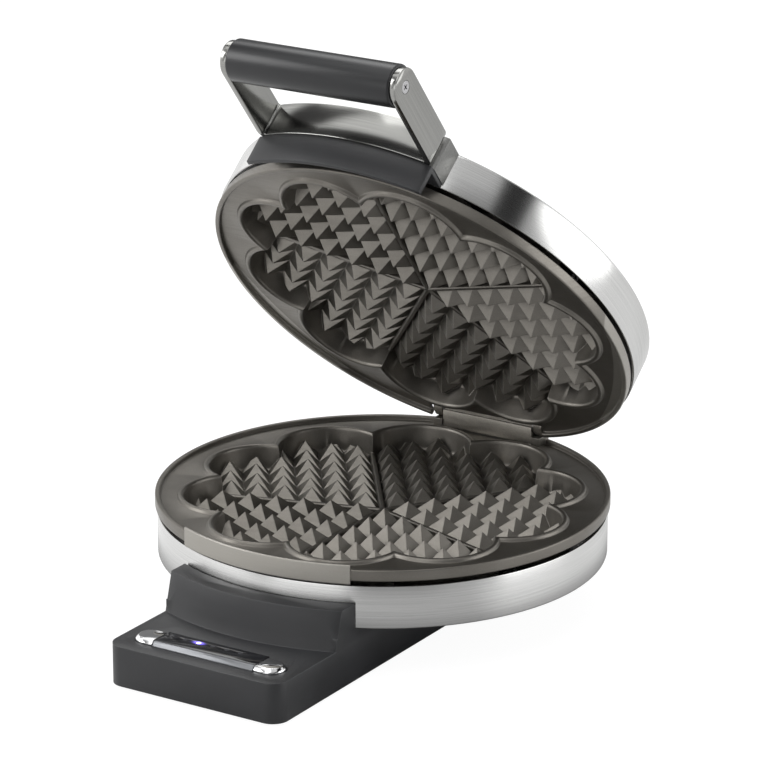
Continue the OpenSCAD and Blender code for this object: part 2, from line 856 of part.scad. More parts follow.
module post_holes(z1) {
    for (a = post_angles)
        at_angle(a, post_c, z1 - over) cylinder(r = bolt_r + seat, h = thread_depth + over);
}

module lower_plate() {
    color([0.2, 0.19, 0.18]) base_place() heart_fields();
    color([0.2, 0.19, 0.18]) base_place() difference() {
        union() {
            plate_core(plate_r);
            heater_seat();
            clip_bosses();
            plate_posts(back_z + 1);
            intersection() {
                translate([0, 0, rim_z - rim_h - lip_drop])
                    tube(upper_r + lip_gap + lip_t, upper_r + lip_gap, rim_h + lip_rise + lip_drop);
                block_between(-lip_half, lip_half, -plate_r - 2 * over, -lobe_c, 0, lid_top);
            }
            intersection() {
                translate([0, 0, rim_z - rim_h]) tube(upper_r + lip_gap + over / 2, plate_r - rim_w, rim_h);
                block_between(-lip_half, lip_half, -plate_r - 2 * over, -lobe_c, 0, lid_top);
            }
        }
        clip_holes();
        post_holes(back_z + 1);
        block_between(-block_half - 0.5, block_half + 0.5, block_front - 0.4, plate_r + over,
            rim_z - rim_h - over, rim_z + over);
    }
}

module lower_heater() {
    color([0.35, 0.34, 0.33]) base_place() tubular_heater();
}

module lower_heater_clips() {
    color([0.7, 0.7, 0.7]) base_place() heater_straps();
}

module lower_clip_screws() {
    color([0.72, 0.72, 0.74]) base_place() strap_bolts();
}

module lower_reflector() {
    color([0.82, 0.82, 0.84]) base_place() difference() {
        union() {
            translate([0, 0, reflector_z]) cylinder(r = post_c + post_rim, h = reflector_t);
            for (a = post_angles)
                at_angle(a, post_c, pan_top)
                    cylinder(r = post_r + 1.4, h = reflector_z - pan_top + reflector_t / 2);
        }
        translate([0, 0, pan_top - over]) towers(3.6, 0, 6);
        for (a = post_angles)
            at_angle(a, post_c, pan_top - over) cylinder(r = post_r + 0.2, h = 5);
        block_between(-block_screw_x - 7, block_screw_x + 7, bracket_front, plate_r,
            pan_top - over, pan_top + 5);
        translate([0, wire_hole_y, pan_top - over]) cylinder(r = wire_hole_r, h = 5);
    }
}

module plate_sensor() {
    color([0.78, 0.76, 0.7]) base_place() {
        translate([0, 0, back_z - seat - 5]) cylinder(r = 7.5, h = 5);
        block_between(-3, 3, -11, 11, back_z - seat - 1, back_z - seat);
        block_between(-5.5, -4.5, -3, 3, back_z - seat - 8, back_z - seat - 4);
        block_between(4.5, 5.5, -3, 3, back_z - seat - 8, back_z - seat - 4);
    }
}

module thermal_fuse() {
    color([0.85, 0.83, 0.75]) base_place()
        translate([20, -18, back_z - 2.3]) rotate([-90, 0, 0]) {
            cylinder(r = 2.2, h = 16);
            translate([0, 0, -5]) cylinder(r = 0.5, h = 26);
        }
}

module pin_hole(radius, half) {
    translate([-half, hinge_y, hinge_z]) rotate([0, 90, 0]) cylinder(r = radius, h = 2 * half);
}

module hinge_block() {
    top = rim_z - flange_drop + block_lift + block_h;
    foot_half = block_half - 2;
    foot_rear = block_front + 4.5;
    color([0.17, 0.165, 0.16]) base_place() difference() {
        union() {
            block_between(-block_half, block_half, block_front, block_front + block_d, top - block_h, top);
            pin_hole(pin_r + 1.7, block_half);
            block_between(-foot_half, foot_half, block_front + 0.5, foot_rear, pan_top + over, top - over);
            block_between(-foot_half, foot_half, bracket_y - block_foot, foot_rear,
                pan_top, pan_top + foot_t);
        }
        pin_hole(pin_r + 0.02, block_half + over);
        for (x = [-block_screw_x, block_screw_x])
            translate([x, bracket_y, pan_top - over]) cylinder(r = bolt_r + 0.2, h = 5);
        translate([0, block_front + 2.5, (pan_top + top) / 2]) cylinder(r = 1.2, h = top);
    }
}

module hinge_block_screws() {
    color([0.7, 0.7, 0.72]) base_place()
        for (x = [-block_screw_x, block_screw_x])
            translate([x, bracket_y, 0]) {
                translate([0, 0, pan_z - 1.6]) cylinder(r = bolt_r, h = pan_top + foot_t - pan_z + 1.6);
                translate([0, 0, pan_top + foot_t + 1.6]) mirror([0, 0, 1]) pan_head(3.6, 1.6);
                translate([0, 0, pan_z - 1.6]) cylinder(r = 3.4, h = 1.6, $fn = 6);
            }
}

module hinge_pin() {
    color([0.7, 0.7, 0.71]) base_place() difference() {
        pin_hole(pin_r, pin_half);
        pin_hole(1.3, pin_half + over);
        for (side = [-1, 1])
            translate([side * (eye_out + 0.45), hinge_y, hinge_z]) rotate([0, 90, 0])
                translate([0, 0, -0.35]) tube(pin_r + over, pin_r - 0.5, 0.7);
    }
}

module hinge_clips() {
    color([0.4, 0.4, 0.42]) base_place()
        for (side = [-1, 1])
            translate([side * (eye_out + 0.45), hinge_y, hinge_z]) rotate([0, 90, 0])
                translate([0, 0, -0.3]) difference() {
                    tube(eye_r - 0.8, pin_r - 0.45, 0.6);
                    block_between(-8, 0, -1.2, 1.2, -over, over + 1);
                }
}

module hinge_washers() {
    color([0.5, 0.5, 0.52]) base_place()
        for (side = [-1, 1])
            translate([side * (block_half + eye_gap / 2), hinge_y, hinge_z]) rotate([0, 90, 0])
                translate([0, 0, -eye_gap / 2 + 0.05]) tube(eye_r - 0.5, pin_r + 0.05, eye_gap - 0.1);
}

module hinge_leads() {
    color([0.75, 0.72, 0.68]) base_place()
        for (side = [-0.62, 0.62])
            translate([-pin_half + 2, hinge_y, hinge_z + side]) rotate([0, 90, 0])
                cylinder(r = 0.55, h = 2 * pin_half - 4);
}

module lid_shell() {
    color([0.76, 0.76, 0.77]) lid_place() difference() {
        union() {
            translate([0, 0, lid_z]) tube(lid_r, lid_in, lid_h - lid_round);
            translate([0, 0, lid_top - band_t]) cylinder(r = lid_r - lid_round, h = band_t);
            translate([0, 0, lid_top - lid_round]) rotate_extrude() difference() {
                translate([lid_r - lid_round, 0]) circle(r = lid_round);
                translate([lid_r - lid_round, 0]) circle(r = lid_round - band_t);
                translate([0, -lid_round - over]) square([lid_r + over, lid_round + over]);
                translate([0, -over]) square([lid_r - lid_round, lid_round + 2 * over]);
            }
        }
        block_between(-pin_half - pin_slot, pin_half + pin_slot, bracket_front - 4, lid_r + over,
            lid_z - over, hinge_z + 7);
        handle_bolts(screw_r + 0.2, lid_r + 5);
        for (a = [60, 120])
            rotate([0, 0, a]) translate([lid_in - 3, 0, ring_z + side_screw_z]) rotate([0, 90, 0])
                cylinder(r = screw_r + 0.2, h = 8);
    }
}

module handle_bolts(radius, reach) {
    for (a = [-90 - handle_angle, -90 + handle_angle])
        rotate([0, 0, a]) translate([lid_in - 4, 0, strap_screw_z]) rotate([0, 90, 0])
            cylinder(r = radius, h = reach - lid_in + 4);
}

module shell_screws() {
    color([0.74, 0.74, 0.76]) lid_place()
        for (a = [60, 120])
            rotate([0, 0, a]) translate([lid_r, 0, ring_z + side_screw_z]) rotate([0, 90, 0]) {
                translate([0, 0, -5]) cylinder(r = screw_r, h = 5);
                mirror([0, 0, 1]) translate([0, 0, -1.3]) pan_head(2.8, 1.3);
            }
}

module lid_ring() {
    color([0.62, 0.62, 0.63]) lid_place() difference() {
        union() {
            translate([0, 0, ring_z]) tube(lid_in - seat, post_c - post_rim, ring_t);
            translate([0, 0, ring_z]) tube(lid_in - seat, lid_in - seat - ring_t, 6);
        }
        for (a = post_angles)
            at_angle(a, post_c, ring_z - over) cylinder(r = bolt_r + 0.2, h = 5);
        block_between(-eye_out - 3, eye_out + 3, lobe_c, lid_r, ring_z - over, ring_z + 10);
        handle_bolts(screw_r + 0.2, lid_r + 5);
        for (a = [60, 120])
            rotate([0, 0, a]) translate([lid_in - 5, 0, ring_z + side_screw_z]) rotate([0, 90, 0])
                cylinder(r = screw_r + seat, h = 8);
    }
}

module lid_ring_screws() {
    color([0.7, 0.7, 0.72]) lid_place()
        for (a = post_angles)
            at_angle(a, post_c, ring_z + ring_t) {
                translate([0, 0, -thread_depth - thread_gap])
                    cylinder(r = bolt_r, h = thread_depth + thread_gap);
                mirror([0, 0, 1]) translate([0, 0, -1.8]) pan_head(3.6, 1.8);
            }
}

module upper_plate() {
    color([0.21, 0.2, 0.19]) lid_place() turned_over() heart_fields();
    color([0.21, 0.2, 0.19]) lid_place() difference() {
        turned_over() union() {
            plate_core(upper_r);
            heater_seat();
            clip_bosses();
            for (a = post_angles)
                at_angle(a, post_c, 2 * part_z - ring_z)
                    cylinder(r = post_r + 0.6, h = ring_z - 2 * part_z + rim_z - rim_h + over / 2);
            difference() {
                for (x = [-bracket_x, bracket_x])
                    translate([x, bracket_y, back_z - bracket_lift])
                        cylinder(r = 3.4, h = rim_z - rim_h - back_z + bracket_lift + over / 2);
                clover(lobe_r + over, back_z - 2 * over, rim_z);
            }
        }
        turned_over() {
            clip_holes();
            for (a = post_angles)
                at_angle(a, post_c, 2 * part_z - ring_z - over)
                    cylinder(r = bolt_r + seat, h = thread_depth + thread_gap + over);
            for (x = [-bracket_x, bracket_x])
                translate([x, bracket_y, back_z - 2]) cylinder(r = screw_r + seat, h = bracket_bite);
        }
        block_between(-pin_half - pin_slot, pin_half + pin_slot, block_front - block_gap, plate_r + over,
            rim_z - over, lid_top);
    }
}

module upper_heater() {
    color([0.35, 0.34, 0.33]) lid_place() turned_over() tubular_heater();
}

module upper_heater_clips() {
    color([0.7, 0.7, 0.7]) lid_place() turned_over() heater_straps();
}

module upper_clip_screws() {
    color([0.72, 0.72, 0.74]) lid_place() turned_over() strap_bolts();
}

module hinge_bracket() {
    base_z = upper_back_z + bracket_lift;
    color([0.3, 0.3, 0.31]) lid_place() difference() {
        union() {
            block_between(-eye_out, eye_out, bracket_front, block_front + 2, base_z, base_z + bracket_t);
            for (x = [-eye_out, eye_in])
                translate([x, 0, 0]) {
                    translate([0, hinge_y, hinge_z]) rotate([0, 90, 0]) cylinder(r = eye_r, h = eye_t);
                    rotate([90, 0, 90]) linear_extrude(height = eye_t)
                        polygon([
                            [hinge_y - eye_r, hinge_z],
                            [hinge_y, hinge_z],
                            [hinge_y + 3, hinge_z + 4],
                            [hinge_y - 1, hinge_z + 6.5],
                            [hinge_y - 1, base_z + bracket_t],
                            [bracket_front + 2, base_z + bracket_t],
                            [bracket_front + 2, base_z],
                            [hinge_y - eye_r, base_z - 1]
                        ]);
                }
        }
        pin_hole(pin_r + pin_fit, eye_out + over);
        for (x = [-bracket_x, bracket_x])
            translate([x, bracket_y, base_z - over]) cylinder(r = screw_r + 0.2, h = 6);
    }
}

module hinge_bracket_screws() {
    base_z = upper_back_z + bracket_lift;
    color([0.7, 0.7, 0.72]) lid_place()
        for (x = [-bracket_x, bracket_x])
            translate([x, bracket_y, base_z + bracket_t]) {
                translate([0, 0, -bracket_bite]) cylinder(r = screw_r, h = bracket_bite);
                mirror([0, 0, 1]) translate([0, 0, -1.5]) pan_head(2.8, 1.5);
            }
}

module lid_leads() {
    color([0.75, 0.72, 0.68]) lid_place()
        for (side = [-1, 1])
            translate([
                side * heater_c * sin(heater_gap_angle),
                heater_c * cos(heater_gap_angle) + 16.8,
                2 * part_z - heater_z
            ])
                rotate([-90, 0, 0]) difference() {
                    cylinder(r = 2, h = 5);
                    translate([0, 0, -over]) cylinder(r = 1.25, h = 3);
                }
}

module upper_sensor() {
    color([0.78, 0.76, 0.7]) lid_place() turned_over() {
        translate([0, 0, back_z - seat - 5]) cylinder(r = 7.5, h = 5);
        block_between(-3, 3, -11, 11, back_z - seat - 1, back_z - seat);
    }
}

module front_arc(outer, inner, half, z1, z2) {
    intersection() {
        translate([0, 0, z1]) tube(outer, inner, z2 - z1);
        block_between(-half, half, -outer - over, -lobe_c, z1, z2);
    }
}

module handle_spacer() {
    cap = 1.5;
    color([0.6, 0.6, 0.61]) lid_place() difference() {
        union() {
            difference() {
                front_arc(strap_in - seat, lid_r + seat, arm_half, arm_z, arm_z + arm_h);
                front_arc(strap_in - seat - cap, lid_r + seat + cap, arm_half - cap,
                    arm_z - over, arm_z + arm_h - cap);
            }
            intersection() {
                handle_bolts(3.1, strap_in);
                front_arc(strap_in - seat, lid_r + seat, arm_half, arm_z, arm_z + arm_h);
            }
            for (a = [-110, -90, -70])
                at_angle(a, (strap_in + lid_r) / 2, arm_z) cylinder(r = (strap_in - lid_r) / 2 - 1, h = 6);
        }
        handle_bolts(screw_r + 0.1, strap_r);
        for (a = [-110, -90, -70])
            at_angle(a, (strap_in + lid_r) / 2, arm_z - over) cylinder(r = screw_r + seat, h = 5);
    }
}

module handle_strap() {
    color([0.78, 0.78, 0.79]) lid_place() difference() {
        union() {
            front_arc(strap_r, strap_in, arm_half, arm_z, arm_z + arm_h);
            for (x = [-arm_half, arm_half - arm_t]) {
                block_between(x, x + arm_t, -grip_y, -strap_r * 0.91, arm_z, arm_z + arm_h);
                translate([x, -grip_y, arm_mid]) rotate([0, 90, 0]) cylinder(r = arm_h / 2, h = arm_t);
            }
        }
        handle_bolts(screw_r + seat, strap_r - 0.9);
        for (side = [-1, 1])
            translate([side * arm_half, -grip_y, arm_mid]) rotate([0, -side * 90, 0]) {
                translate([0, 0, -over]) cylinder(r = screw_r + 0.1, h = arm_t + 2 * over);
                translate([0, 0, -0.01]) cylinder(r1 = 2.7, r2 = screw_r + 0.1, h = 1.3);
            }
    }
}

module strap_screws() {
    color([0.72, 0.72, 0.74]) lid_place()
        for (a = [-90 - handle_angle, -90 + handle_angle])
            rotate([0, 0, a]) translate([lid_in - 2 * seat - ring_t, 0, strap_screw_z]) rotate([0, 90, 0]) {
                cylinder(r = screw_r, h = strap_r - 1.2 - lid_in + ring_t);
                translate([0, 0, -1.6]) pan_head(2.4, 1.6);
            }
}

module handle_skirt() {
    color([0.08, 0.08, 0.09]) lid_place() difference() {
        union() {
            front_arc(skirt_r, skirt_r - skirt_t, arm_half - 0.2, arm_z - skirt_h, arm_z);
            front_arc(skirt_r, lid_r + 0.7, arm_half - 0.2, arm_z - 2, arm_z);
        }
        for (a = [-110, -90, -70])
            at_angle(a, (strap_in + lid_r) / 2, arm_z - 3) cylinder(r = screw_r + 0.2, h = 5);
    }
}

module skirt_screws() {
    color([0.5, 0.5, 0.52]) lid_place()
        for (a = [-110, -90, -70])
            at_angle(a, (strap_in + lid_r) / 2, arm_z - 2) {
                cylinder(r = screw_r, h = 5.5);
                translate([0, 0, -1.4]) pan_head(2.7, 1.4);
            }
}

module grip() {
    color([0.06, 0.06, 0.065]) lid_place()
        translate([-grip_half, -grip_y, arm_mid]) rotate([0, 90, 0]) difference() {
            union() {
                translate([0, 0, 0.6]) cylinder(r = grip_r, h = 2 * grip_half - 1.2);
                cylinder(r1 = grip_r - 0.6, r2 = grip_r, h = 0.6);
                translate([0, 0, 2 * grip_half - 0.6]) cylinder(r1 = grip_r, r2 = grip_r - 0.6, h = 0.6);
            }
            translate([0, 0, -over]) cylinder(r = 4, h = 2 * grip_half + 2 * over);
        }
}

module grip_core() {
    color([0.55, 0.55, 0.56]) lid_place()
        translate([-grip_half, -grip_y, arm_mid]) rotate([0, 90, 0]) difference() {
            cylinder(r = 3.95, h = 2 * grip_half);
            translate([0, 0, -over]) cylinder(r = screw_r + seat, h = grip_bite + over);
            translate([0, 0, 2 * grip_half - grip_bite]) cylinder(r = screw_r + seat, h = grip_bite + over);
        }
}

module grip_screws() {
    color([0.8, 0.8, 0.8]) lid_place()
        for (side = [-1, 1])
            translate([side * arm_half, -grip_y, arm_mid]) rotate([0, -side * 90, 0]) difference() {
                union() {
                    translate([0, 0, seat]) cylinder(r1 = 2.6, r2 = screw_r, h = 1.2);
                    translate([0, 0, seat]) cylinder(r = screw_r, h = grip_bite);
                }
                translate([0, 0, -over]) cross_slot(2.6, 0.6, 0.9 + over);
            }
}

base_housing();
base_cover();
foot_pads();
cover_screws();
panel_tray();
panel_window();
panel_strip();
light_pipes();
light_pipe_lit();
indicator_leds();
button_minus();
button_plus();
control_board();
board_screws();
key_switches();
power_relay();
terminal_block();
terminal_screws();
cord_gland();
pan_screws();
lower_band();
lower_pan();
lower_standoffs();
lower_plate_screws();
lower_plate();
lower_heater();
lower_heater_clips();
lower_clip_screws();
lower_reflector();
plate_sensor();
thermal_fuse();
hinge_block();
hinge_block_screws();
hinge_pin();
hinge_clips();
hinge_washers();
hinge_leads();
lid_shell();
shell_screws();
lid_ring();
lid_ring_screws();
upper_plate();
upper_heater();
upper_heater_clips();
upper_clip_screws();
hinge_bracket();
hinge_bracket_screws();
lid_leads();
upper_sensor();
handle_spacer();
handle_strap();
strap_screws();
handle_skirt();
skirt_screws();
grip();
grip_core();
grip_screws();
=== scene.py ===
# Electric waffle maker with five heart pockets, lid open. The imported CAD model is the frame.
import json
import math

import bmesh
import bpy
from mathutils import Matrix, Vector


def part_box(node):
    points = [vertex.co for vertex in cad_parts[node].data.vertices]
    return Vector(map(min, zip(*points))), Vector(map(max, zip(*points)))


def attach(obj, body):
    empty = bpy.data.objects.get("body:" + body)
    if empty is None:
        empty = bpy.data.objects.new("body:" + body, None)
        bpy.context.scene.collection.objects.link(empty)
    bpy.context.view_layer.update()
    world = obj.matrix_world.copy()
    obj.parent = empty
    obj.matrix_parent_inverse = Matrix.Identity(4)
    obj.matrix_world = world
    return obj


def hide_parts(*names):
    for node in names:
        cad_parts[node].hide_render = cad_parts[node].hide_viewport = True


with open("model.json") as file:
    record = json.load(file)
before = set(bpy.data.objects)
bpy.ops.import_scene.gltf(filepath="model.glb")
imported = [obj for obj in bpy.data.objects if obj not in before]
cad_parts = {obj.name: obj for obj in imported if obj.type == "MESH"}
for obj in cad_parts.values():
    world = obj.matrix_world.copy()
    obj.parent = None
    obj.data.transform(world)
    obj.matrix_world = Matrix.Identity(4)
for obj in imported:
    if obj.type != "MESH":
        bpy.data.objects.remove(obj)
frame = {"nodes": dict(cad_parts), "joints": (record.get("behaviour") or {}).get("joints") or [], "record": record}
nodes = frame["nodes"]
joints = {joint["name"]: joint for joint in frame["joints"]}
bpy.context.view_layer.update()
mm = 0.001

bandLow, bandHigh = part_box("lower_band")
drumMiddle = Vector((0, (bandLow.y + bandHigh.y) / 2, 0))
lidJoint = joints["lid_hinge"]
lidPivot = Vector(lidJoint["pos_m"])
lidOpen = math.radians(-lidJoint["range_deg"][0])
print("frame loaded:", len(nodes), "nodes")


# Placing: base pieces stand on the drum's axis, lid pieces are built shut and then swung open
def baseSpot():
    return Matrix.Translation(drumMiddle)


def lidSpot():
    swing = Matrix.Translation(lidPivot) @ Matrix.Rotation(-lidOpen, 4, "X")
    return swing @ Matrix.Translation(drumMiddle - lidPivot)


# Mesh helpers, all lengths in millimetres until the piece is placed
def newPiece(name, bm, spot, body, replaced, material, smoothAngle=32):
    bmesh.ops.recalc_face_normals(bm, faces=bm.faces)
    mesh = bpy.data.meshes.new(name)
    bm.to_mesh(mesh)
    bm.free()
    mesh.transform(spot @ Matrix.Scale(mm, 4))
    mesh.materials.append(material)
    mesh.shade_smooth()
    mesh.set_sharp_from_angle(angle=math.radians(smoothAngle))
    piece = bpy.data.objects.new(name, mesh)
    bpy.context.scene.collection.objects.link(piece)
    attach(piece, body)
    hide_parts(*replaced)


def scratchObject(bm):
    bmesh.ops.recalc_face_normals(bm, faces=bm.faces)
    mesh = bpy.data.meshes.new("scratch")
    bm.to_mesh(mesh)
    bm.free()
    thing = bpy.data.objects.new("scratch", mesh)
    bpy.context.scene.collection.objects.link(thing)
    return thing


def combine(first, others, operation="UNION"):
    # Joins closed meshes one after another and gives back a bmesh
    thing = scratchObject(first)
    for other in others:
        tool = scratchObject(other)
        step = thing.modifiers.new("step", "BOOLEAN")
        step.operation = operation
        step.solver = "MANIFOLD"
        step.object = tool
        bpy.context.view_layer.update()
        cut = bpy.data.meshes.new_from_object(thing.evaluated_get(bpy.context.evaluated_depsgraph_get()))
        thing.modifiers.clear()
        thing.data = cut
        bpy.data.objects.remove(tool)
    result = bmesh.new()
    result.from_mesh(thing.data)
    bpy.data.objects.remove(thing)
    return result


def ringSkin(rings):
    # rings: lists of points, all of one length, joined ring to ring
    bm = bmesh.new()
    made = [[bm.verts.new(point) for point in ring] for ring in rings]
    for lower, upper in zip(made, made[1:]):
        for k in range(len(lower)):
            j = (k + 1) % len(lower)
            bm.faces.new((lower[k], lower[j], upper[j], upper[k]))
    return bm, made


def prism(outline, low, high):
    bm = bmesh.new()
    bottom = [bm.verts.new((x, y, low)) for x, y in outline]
    top = [bm.verts.new((x, y, high)) for x, y in outline]
    bm.faces.new(bottom)
    bm.faces.new(top)
    for k in range(len(outline)):
        j = (k + 1) % len(outline)
        bm.faces.new((bottom[k], bottom[j], top[j], top[k]))
    return bm


def block(x1, x2, y1, y2, z1, z2):
    return prism([(x1, y1), (x2, y1), (x2, y2), (x1, y2)], z1, z2)


def lathe(profile, steps):
    # profile: closed loop of (radius, height) points, turned about the drum's axis
    rings = []
    for radius, height in profile + profile[:1]:
        rings.append([(radius * math.cos(2 * math.pi * k / steps),
                       radius * math.sin(2 * math.pi * k / steps), height) for k in range(steps)])
    bm = ringSkin(rings)[0]
    bmesh.ops.remove_doubles(bm, verts=bm.verts, dist=1e-5)
    return bm


def arcBar(profile, middleAngle, halfAngle, steps):
    # profile: closed loop of (radius, height) points, swept over part of a turn
    bm = bmesh.new()
    stations = []
    for k in range(steps + 1):
        angle = math.radians(middleAngle - halfAngle + 2 * halfAngle * k / steps)
        stations.append([bm.verts.new((r * math.cos(angle), r * math.sin(angle), z)) for r, z in profile])
    for before, after in zip(stations, stations[1:]):
        for k in range(len(profile)):
            j = (k + 1) % len(profile)
            bm.faces.new((before[k], before[j], after[j], after[k]))
    bm.faces.new(stations[0])
    bm.faces.new(stations[-1])
    return bm


def roundCorner(centreR, centreZ, radius, startAngle, endAngle, steps=4):
    # points of a small arc in the profile plane
    points = []
    for k in range(steps + 1):
        angle = math.radians(startAngle + (endAngle - startAngle) * k / steps)
        points.append((centreR + radius * math.cos(angle), centreZ + radius * math.sin(angle)))
    return points


# Cooking plates: one polar skin for rim, flange, bead, wall and floor, then dividers and pyramids.
# Heights run down from the top of the rim; a clover reach is measured outwards from the pockets' edge.
plateShape = {
    "columns": 360,
    "rimHeight": 4.8,
    "rimWidth": 2.2,
    "rimRound": 0.6,
    "rimInnerRound": 0.5,
    "flangeDrop": 2.0,
    "lobes": 10,
    "lobeCentre": 60.5,
    "lobeRadius": 22.5,
    "wall": 2.7,
    "wallEdge": 0.6,
    "beadDrop": 0.4,
    "beadSide": [(3.3, 0.0), (2.95, 0.1), (2.7, 0.4), (2.5, 0.9)],
    "beadTop": [(2.2, 0.28), (1.8, 0.07), (1.35, 0.0), (0.9, 0.05), (0.45, 0.3), (0.15, 0.8), (0.0, 1.5)],
    "wallFoot": [(-0.5, 2.2), (-0.75, 1.2), (-1.2, 0.5), (-1.9, 0.12), (-2.7, 0.0)],
    "floorDepth": 11.9,
    "floorThick": 2.5,
    "dividerWidth": 2.0,
    "dividerRise": 3.0,
    "dividerEdge": 0.4,
    "dividerSink": 1.0,
    "dividerBack": 1.2,
    "dividerPast": 1.5,
    "cell": 11.75,
    "pyramidRise": 7.2,
    "grooveRise": 0.12,
    "fieldThick": 0.8,
    "fieldOverlap": 0.1,
    "fieldPast": 5.2,
    "trimPast": 0.8,
    "trimDepth": 0.6,
    "hearts": 5,
    "rows": 8,
}


def lobeReach(angle, offset):
    # distance from the middle to the clover's edge, moved outwards by offset
    step = 360 / plateShape["lobes"]
    away = math.radians((math.degrees(angle) + step / 2) % step - step / 2)
    centre = plateShape["lobeCentre"]
    radius = plateShape["lobeRadius"] + offset
    return centre * math.cos(away) + math.sqrt(radius ** 2 - (centre * math.sin(away)) ** 2)


def plateCore(edgeRadius):
    shape = plateShape
    columns = [2 * math.pi * k / shape["columns"] for k in range(shape["columns"])]
    under, flange, bead, floor = (-shape[key] for key in ("rimHeight", "flangeDrop", "beadDrop", "floorDepth"))
    wall, edge, soft, sharp = (shape[key] for key in ("wall", "wallEdge", "rimRound", "rimInnerRound"))
    back = floor - shape["floorThick"]
    inner = edgeRadius - shape["rimWidth"]
    rimCorners = [(edgeRadius - soft, under + soft, soft, -90, 0), (edgeRadius - soft, -soft, soft, 0, 90),
                  (inner + sharp, -sharp, sharp, 90, 180), (inner - sharp, flange + sharp, sharp, 0, -90)]
    outline = [("clover", wall - edge, back), ("clover", wall, back + edge), ("clover", wall, under)]
    outline += [("circle", *point) for corner in rimCorners for point in roundCorner(*corner)]
    outline += [("clover", reach, flange + rise) for reach, rise in shape["beadSide"]]
    outline += [("clover", reach, bead - drop) for reach, drop in shape["beadTop"]]
    outline += [("clover", reach, floor + rise) for reach, rise in shape["wallFoot"]]
    rings = []
    for kind, reach, height in outline:
        radii = [reach if kind == "circle" else lobeReach(angle, reach) for angle in columns]
        ring = [(r * math.cos(angle), r * math.sin(angle), height) for r, angle in zip(radii, columns)]
        rings.append(ring)
    bm, made = ringSkin(rings)
    for ring, height in ((made[0], back), (made[-1], floor)):
        middle = bm.verts.new((0, 0, height))
        for k in range(len(ring)):
            bm.faces.new((ring[k], ring[(k + 1) % len(ring)], middle))
    return bm


def dividerBar(angle):
    # low bar from the middle of the plate to the wall, between two hearts
    shape = plateShape
    half, edge = shape["dividerWidth"] / 2, shape["dividerEdge"]
    foot = -shape["floorDepth"] - shape["dividerSink"]
    top = -shape["floorDepth"] + shape["dividerRise"]
    reach = lobeReach(math.radians(angle), 0) + shape["dividerPast"]
    profile = [(-half, foot), (half, foot), (half, top - edge), (half - edge, top), (-half + edge, top),
               (-half, top - edge)]
    bm = bmesh.new()
    ends = [[bm.verts.new((along, across, height)) for across, height in profile]
            for along in (-shape["dividerBack"], reach)]
    for k in range(len(profile)):
        j = (k + 1) % len(profile)
        bm.faces.new((ends[0][k], ends[0][j], ends[1][j], ends[1][k]))
    bm.faces.new(ends[0])
    bm.faces.new(ends[1])
    bm.transform(Matrix.Rotation(math.radians(angle), 4, "Z"))
    return bm


def cloverInside(x, y):
    # how far a point lies inside the clover, in millimetres
    return lobeReach(math.atan2(y, x), 0) - math.hypot(x, y)


def heartField(axisAngle):
    # rows of rhombic pyramids between two dividers, as one closed mesh
    shape = plateShape
    turn = math.radians(360 / shape["hearts"])
    axis = math.radians(axisAngle)
    step = shape["cell"] * math.sin(turn)
    start = shape["dividerWidth"] / 2 - shape["fieldOverlap"]
    sideA = Vector((math.cos(axis - turn / 2), math.sin(axis - turn / 2)))
    sideB = Vector((math.cos(axis + turn / 2), math.sin(axis + turn / 2)))
    groove = -shape["floorDepth"] + shape["grooveRise"]
    tip = -shape["floorDepth"] + shape["pyramidRise"]
    under = -shape["floorDepth"] - shape["fieldThick"]

    def spot(u, v):
        return (sideA * v + sideB * u) / math.sin(turn)

    bm = bmesh.new()
    top, low, sides = {}, {}, {}
    for i in range(shape["rows"]):
        for j in range(shape["rows"]):
            middle = spot(start + (i + 0.5) * step, start + (j + 0.5) * step)
            if cloverInside(middle.x, middle.y) < -shape["fieldPast"]:
                continue
            corners = [(i, j), (i + 1, j), (i + 1, j + 1), (i, j + 1)]
            for corner in corners:
                if corner not in top:
                    at = spot(start + corner[0] * step, start + corner[1] * step)
                    top[corner] = bm.verts.new((at.x, at.y, groove))
                    low[corner] = bm.verts.new((at.x, at.y, under))
            peak = bm.verts.new((middle.x, middle.y, tip))
            for one, other in zip(corners, corners[1:] + corners[:1]):
                bm.faces.new((top[one], top[other], peak))
                sides.setdefault(frozenset((one, other)), []).append((one, other))
            bm.faces.new([low[corner] for corner in corners])
    for users in sides.values():
        # a side with one pyramid only is the field's outer edge and gets a wall down to its foot
        if len(users) == 1:
            one, other = users[0]
            bm.faces.new((top[one], top[other], low[other], low[one]))
    return bm


def cloverPrism(offset, low, high):
    angles = [2 * math.pi * k / plateShape["columns"] for k in range(plateShape["columns"])]
    return prism([(lobeReach(a, offset) * math.cos(a), lobeReach(a, offset) * math.sin(a)) for a in angles],
                 low, high)


def cookingFace(edgeRadius):
    shape = plateShape
    step = 360 / shape["hearts"]
    fields = []
    for i in range(shape["hearts"]):
        trim = cloverPrism(shape["trimPast"], -shape["floorDepth"] - shape["trimDepth"], 0)
        fields.append(combine(heartField(90 + step * i), [trim], "INTERSECT"))
    dividers = [dividerBar(-90 + step * i) for i in range(shape["hearts"])]
    return combine(plateCore(edgeRadius), fields + dividers)


# Materials: every one is made of nodes, in metres, with its own grain, edge wear and painted edge highlights, and
# gloss
def startMaterial(name, metallic=0.0, roughness=0.4):
    material = bpy.data.materials.new(name)
    material.use_nodes = True
    tree = material.node_tree
    shader = tree.nodes["Principled BSDF"]
    shader.inputs["Metallic"].default_value = metallic
    shader.inputs["Roughness"].default_value = roughness
    return material, tree, shader


def addNode(tree, kind, inputs=None, **settings):
    node = tree.nodes.new(kind)
    for key, value in settings.items():
        setattr(node, key, value)
    for key, value in (inputs or {}).items():
        if isinstance(value, bpy.types.NodeSocket):
            tree.links.new(value, node.inputs[key])
        else:
            node.inputs[key].default_value = value
    return node


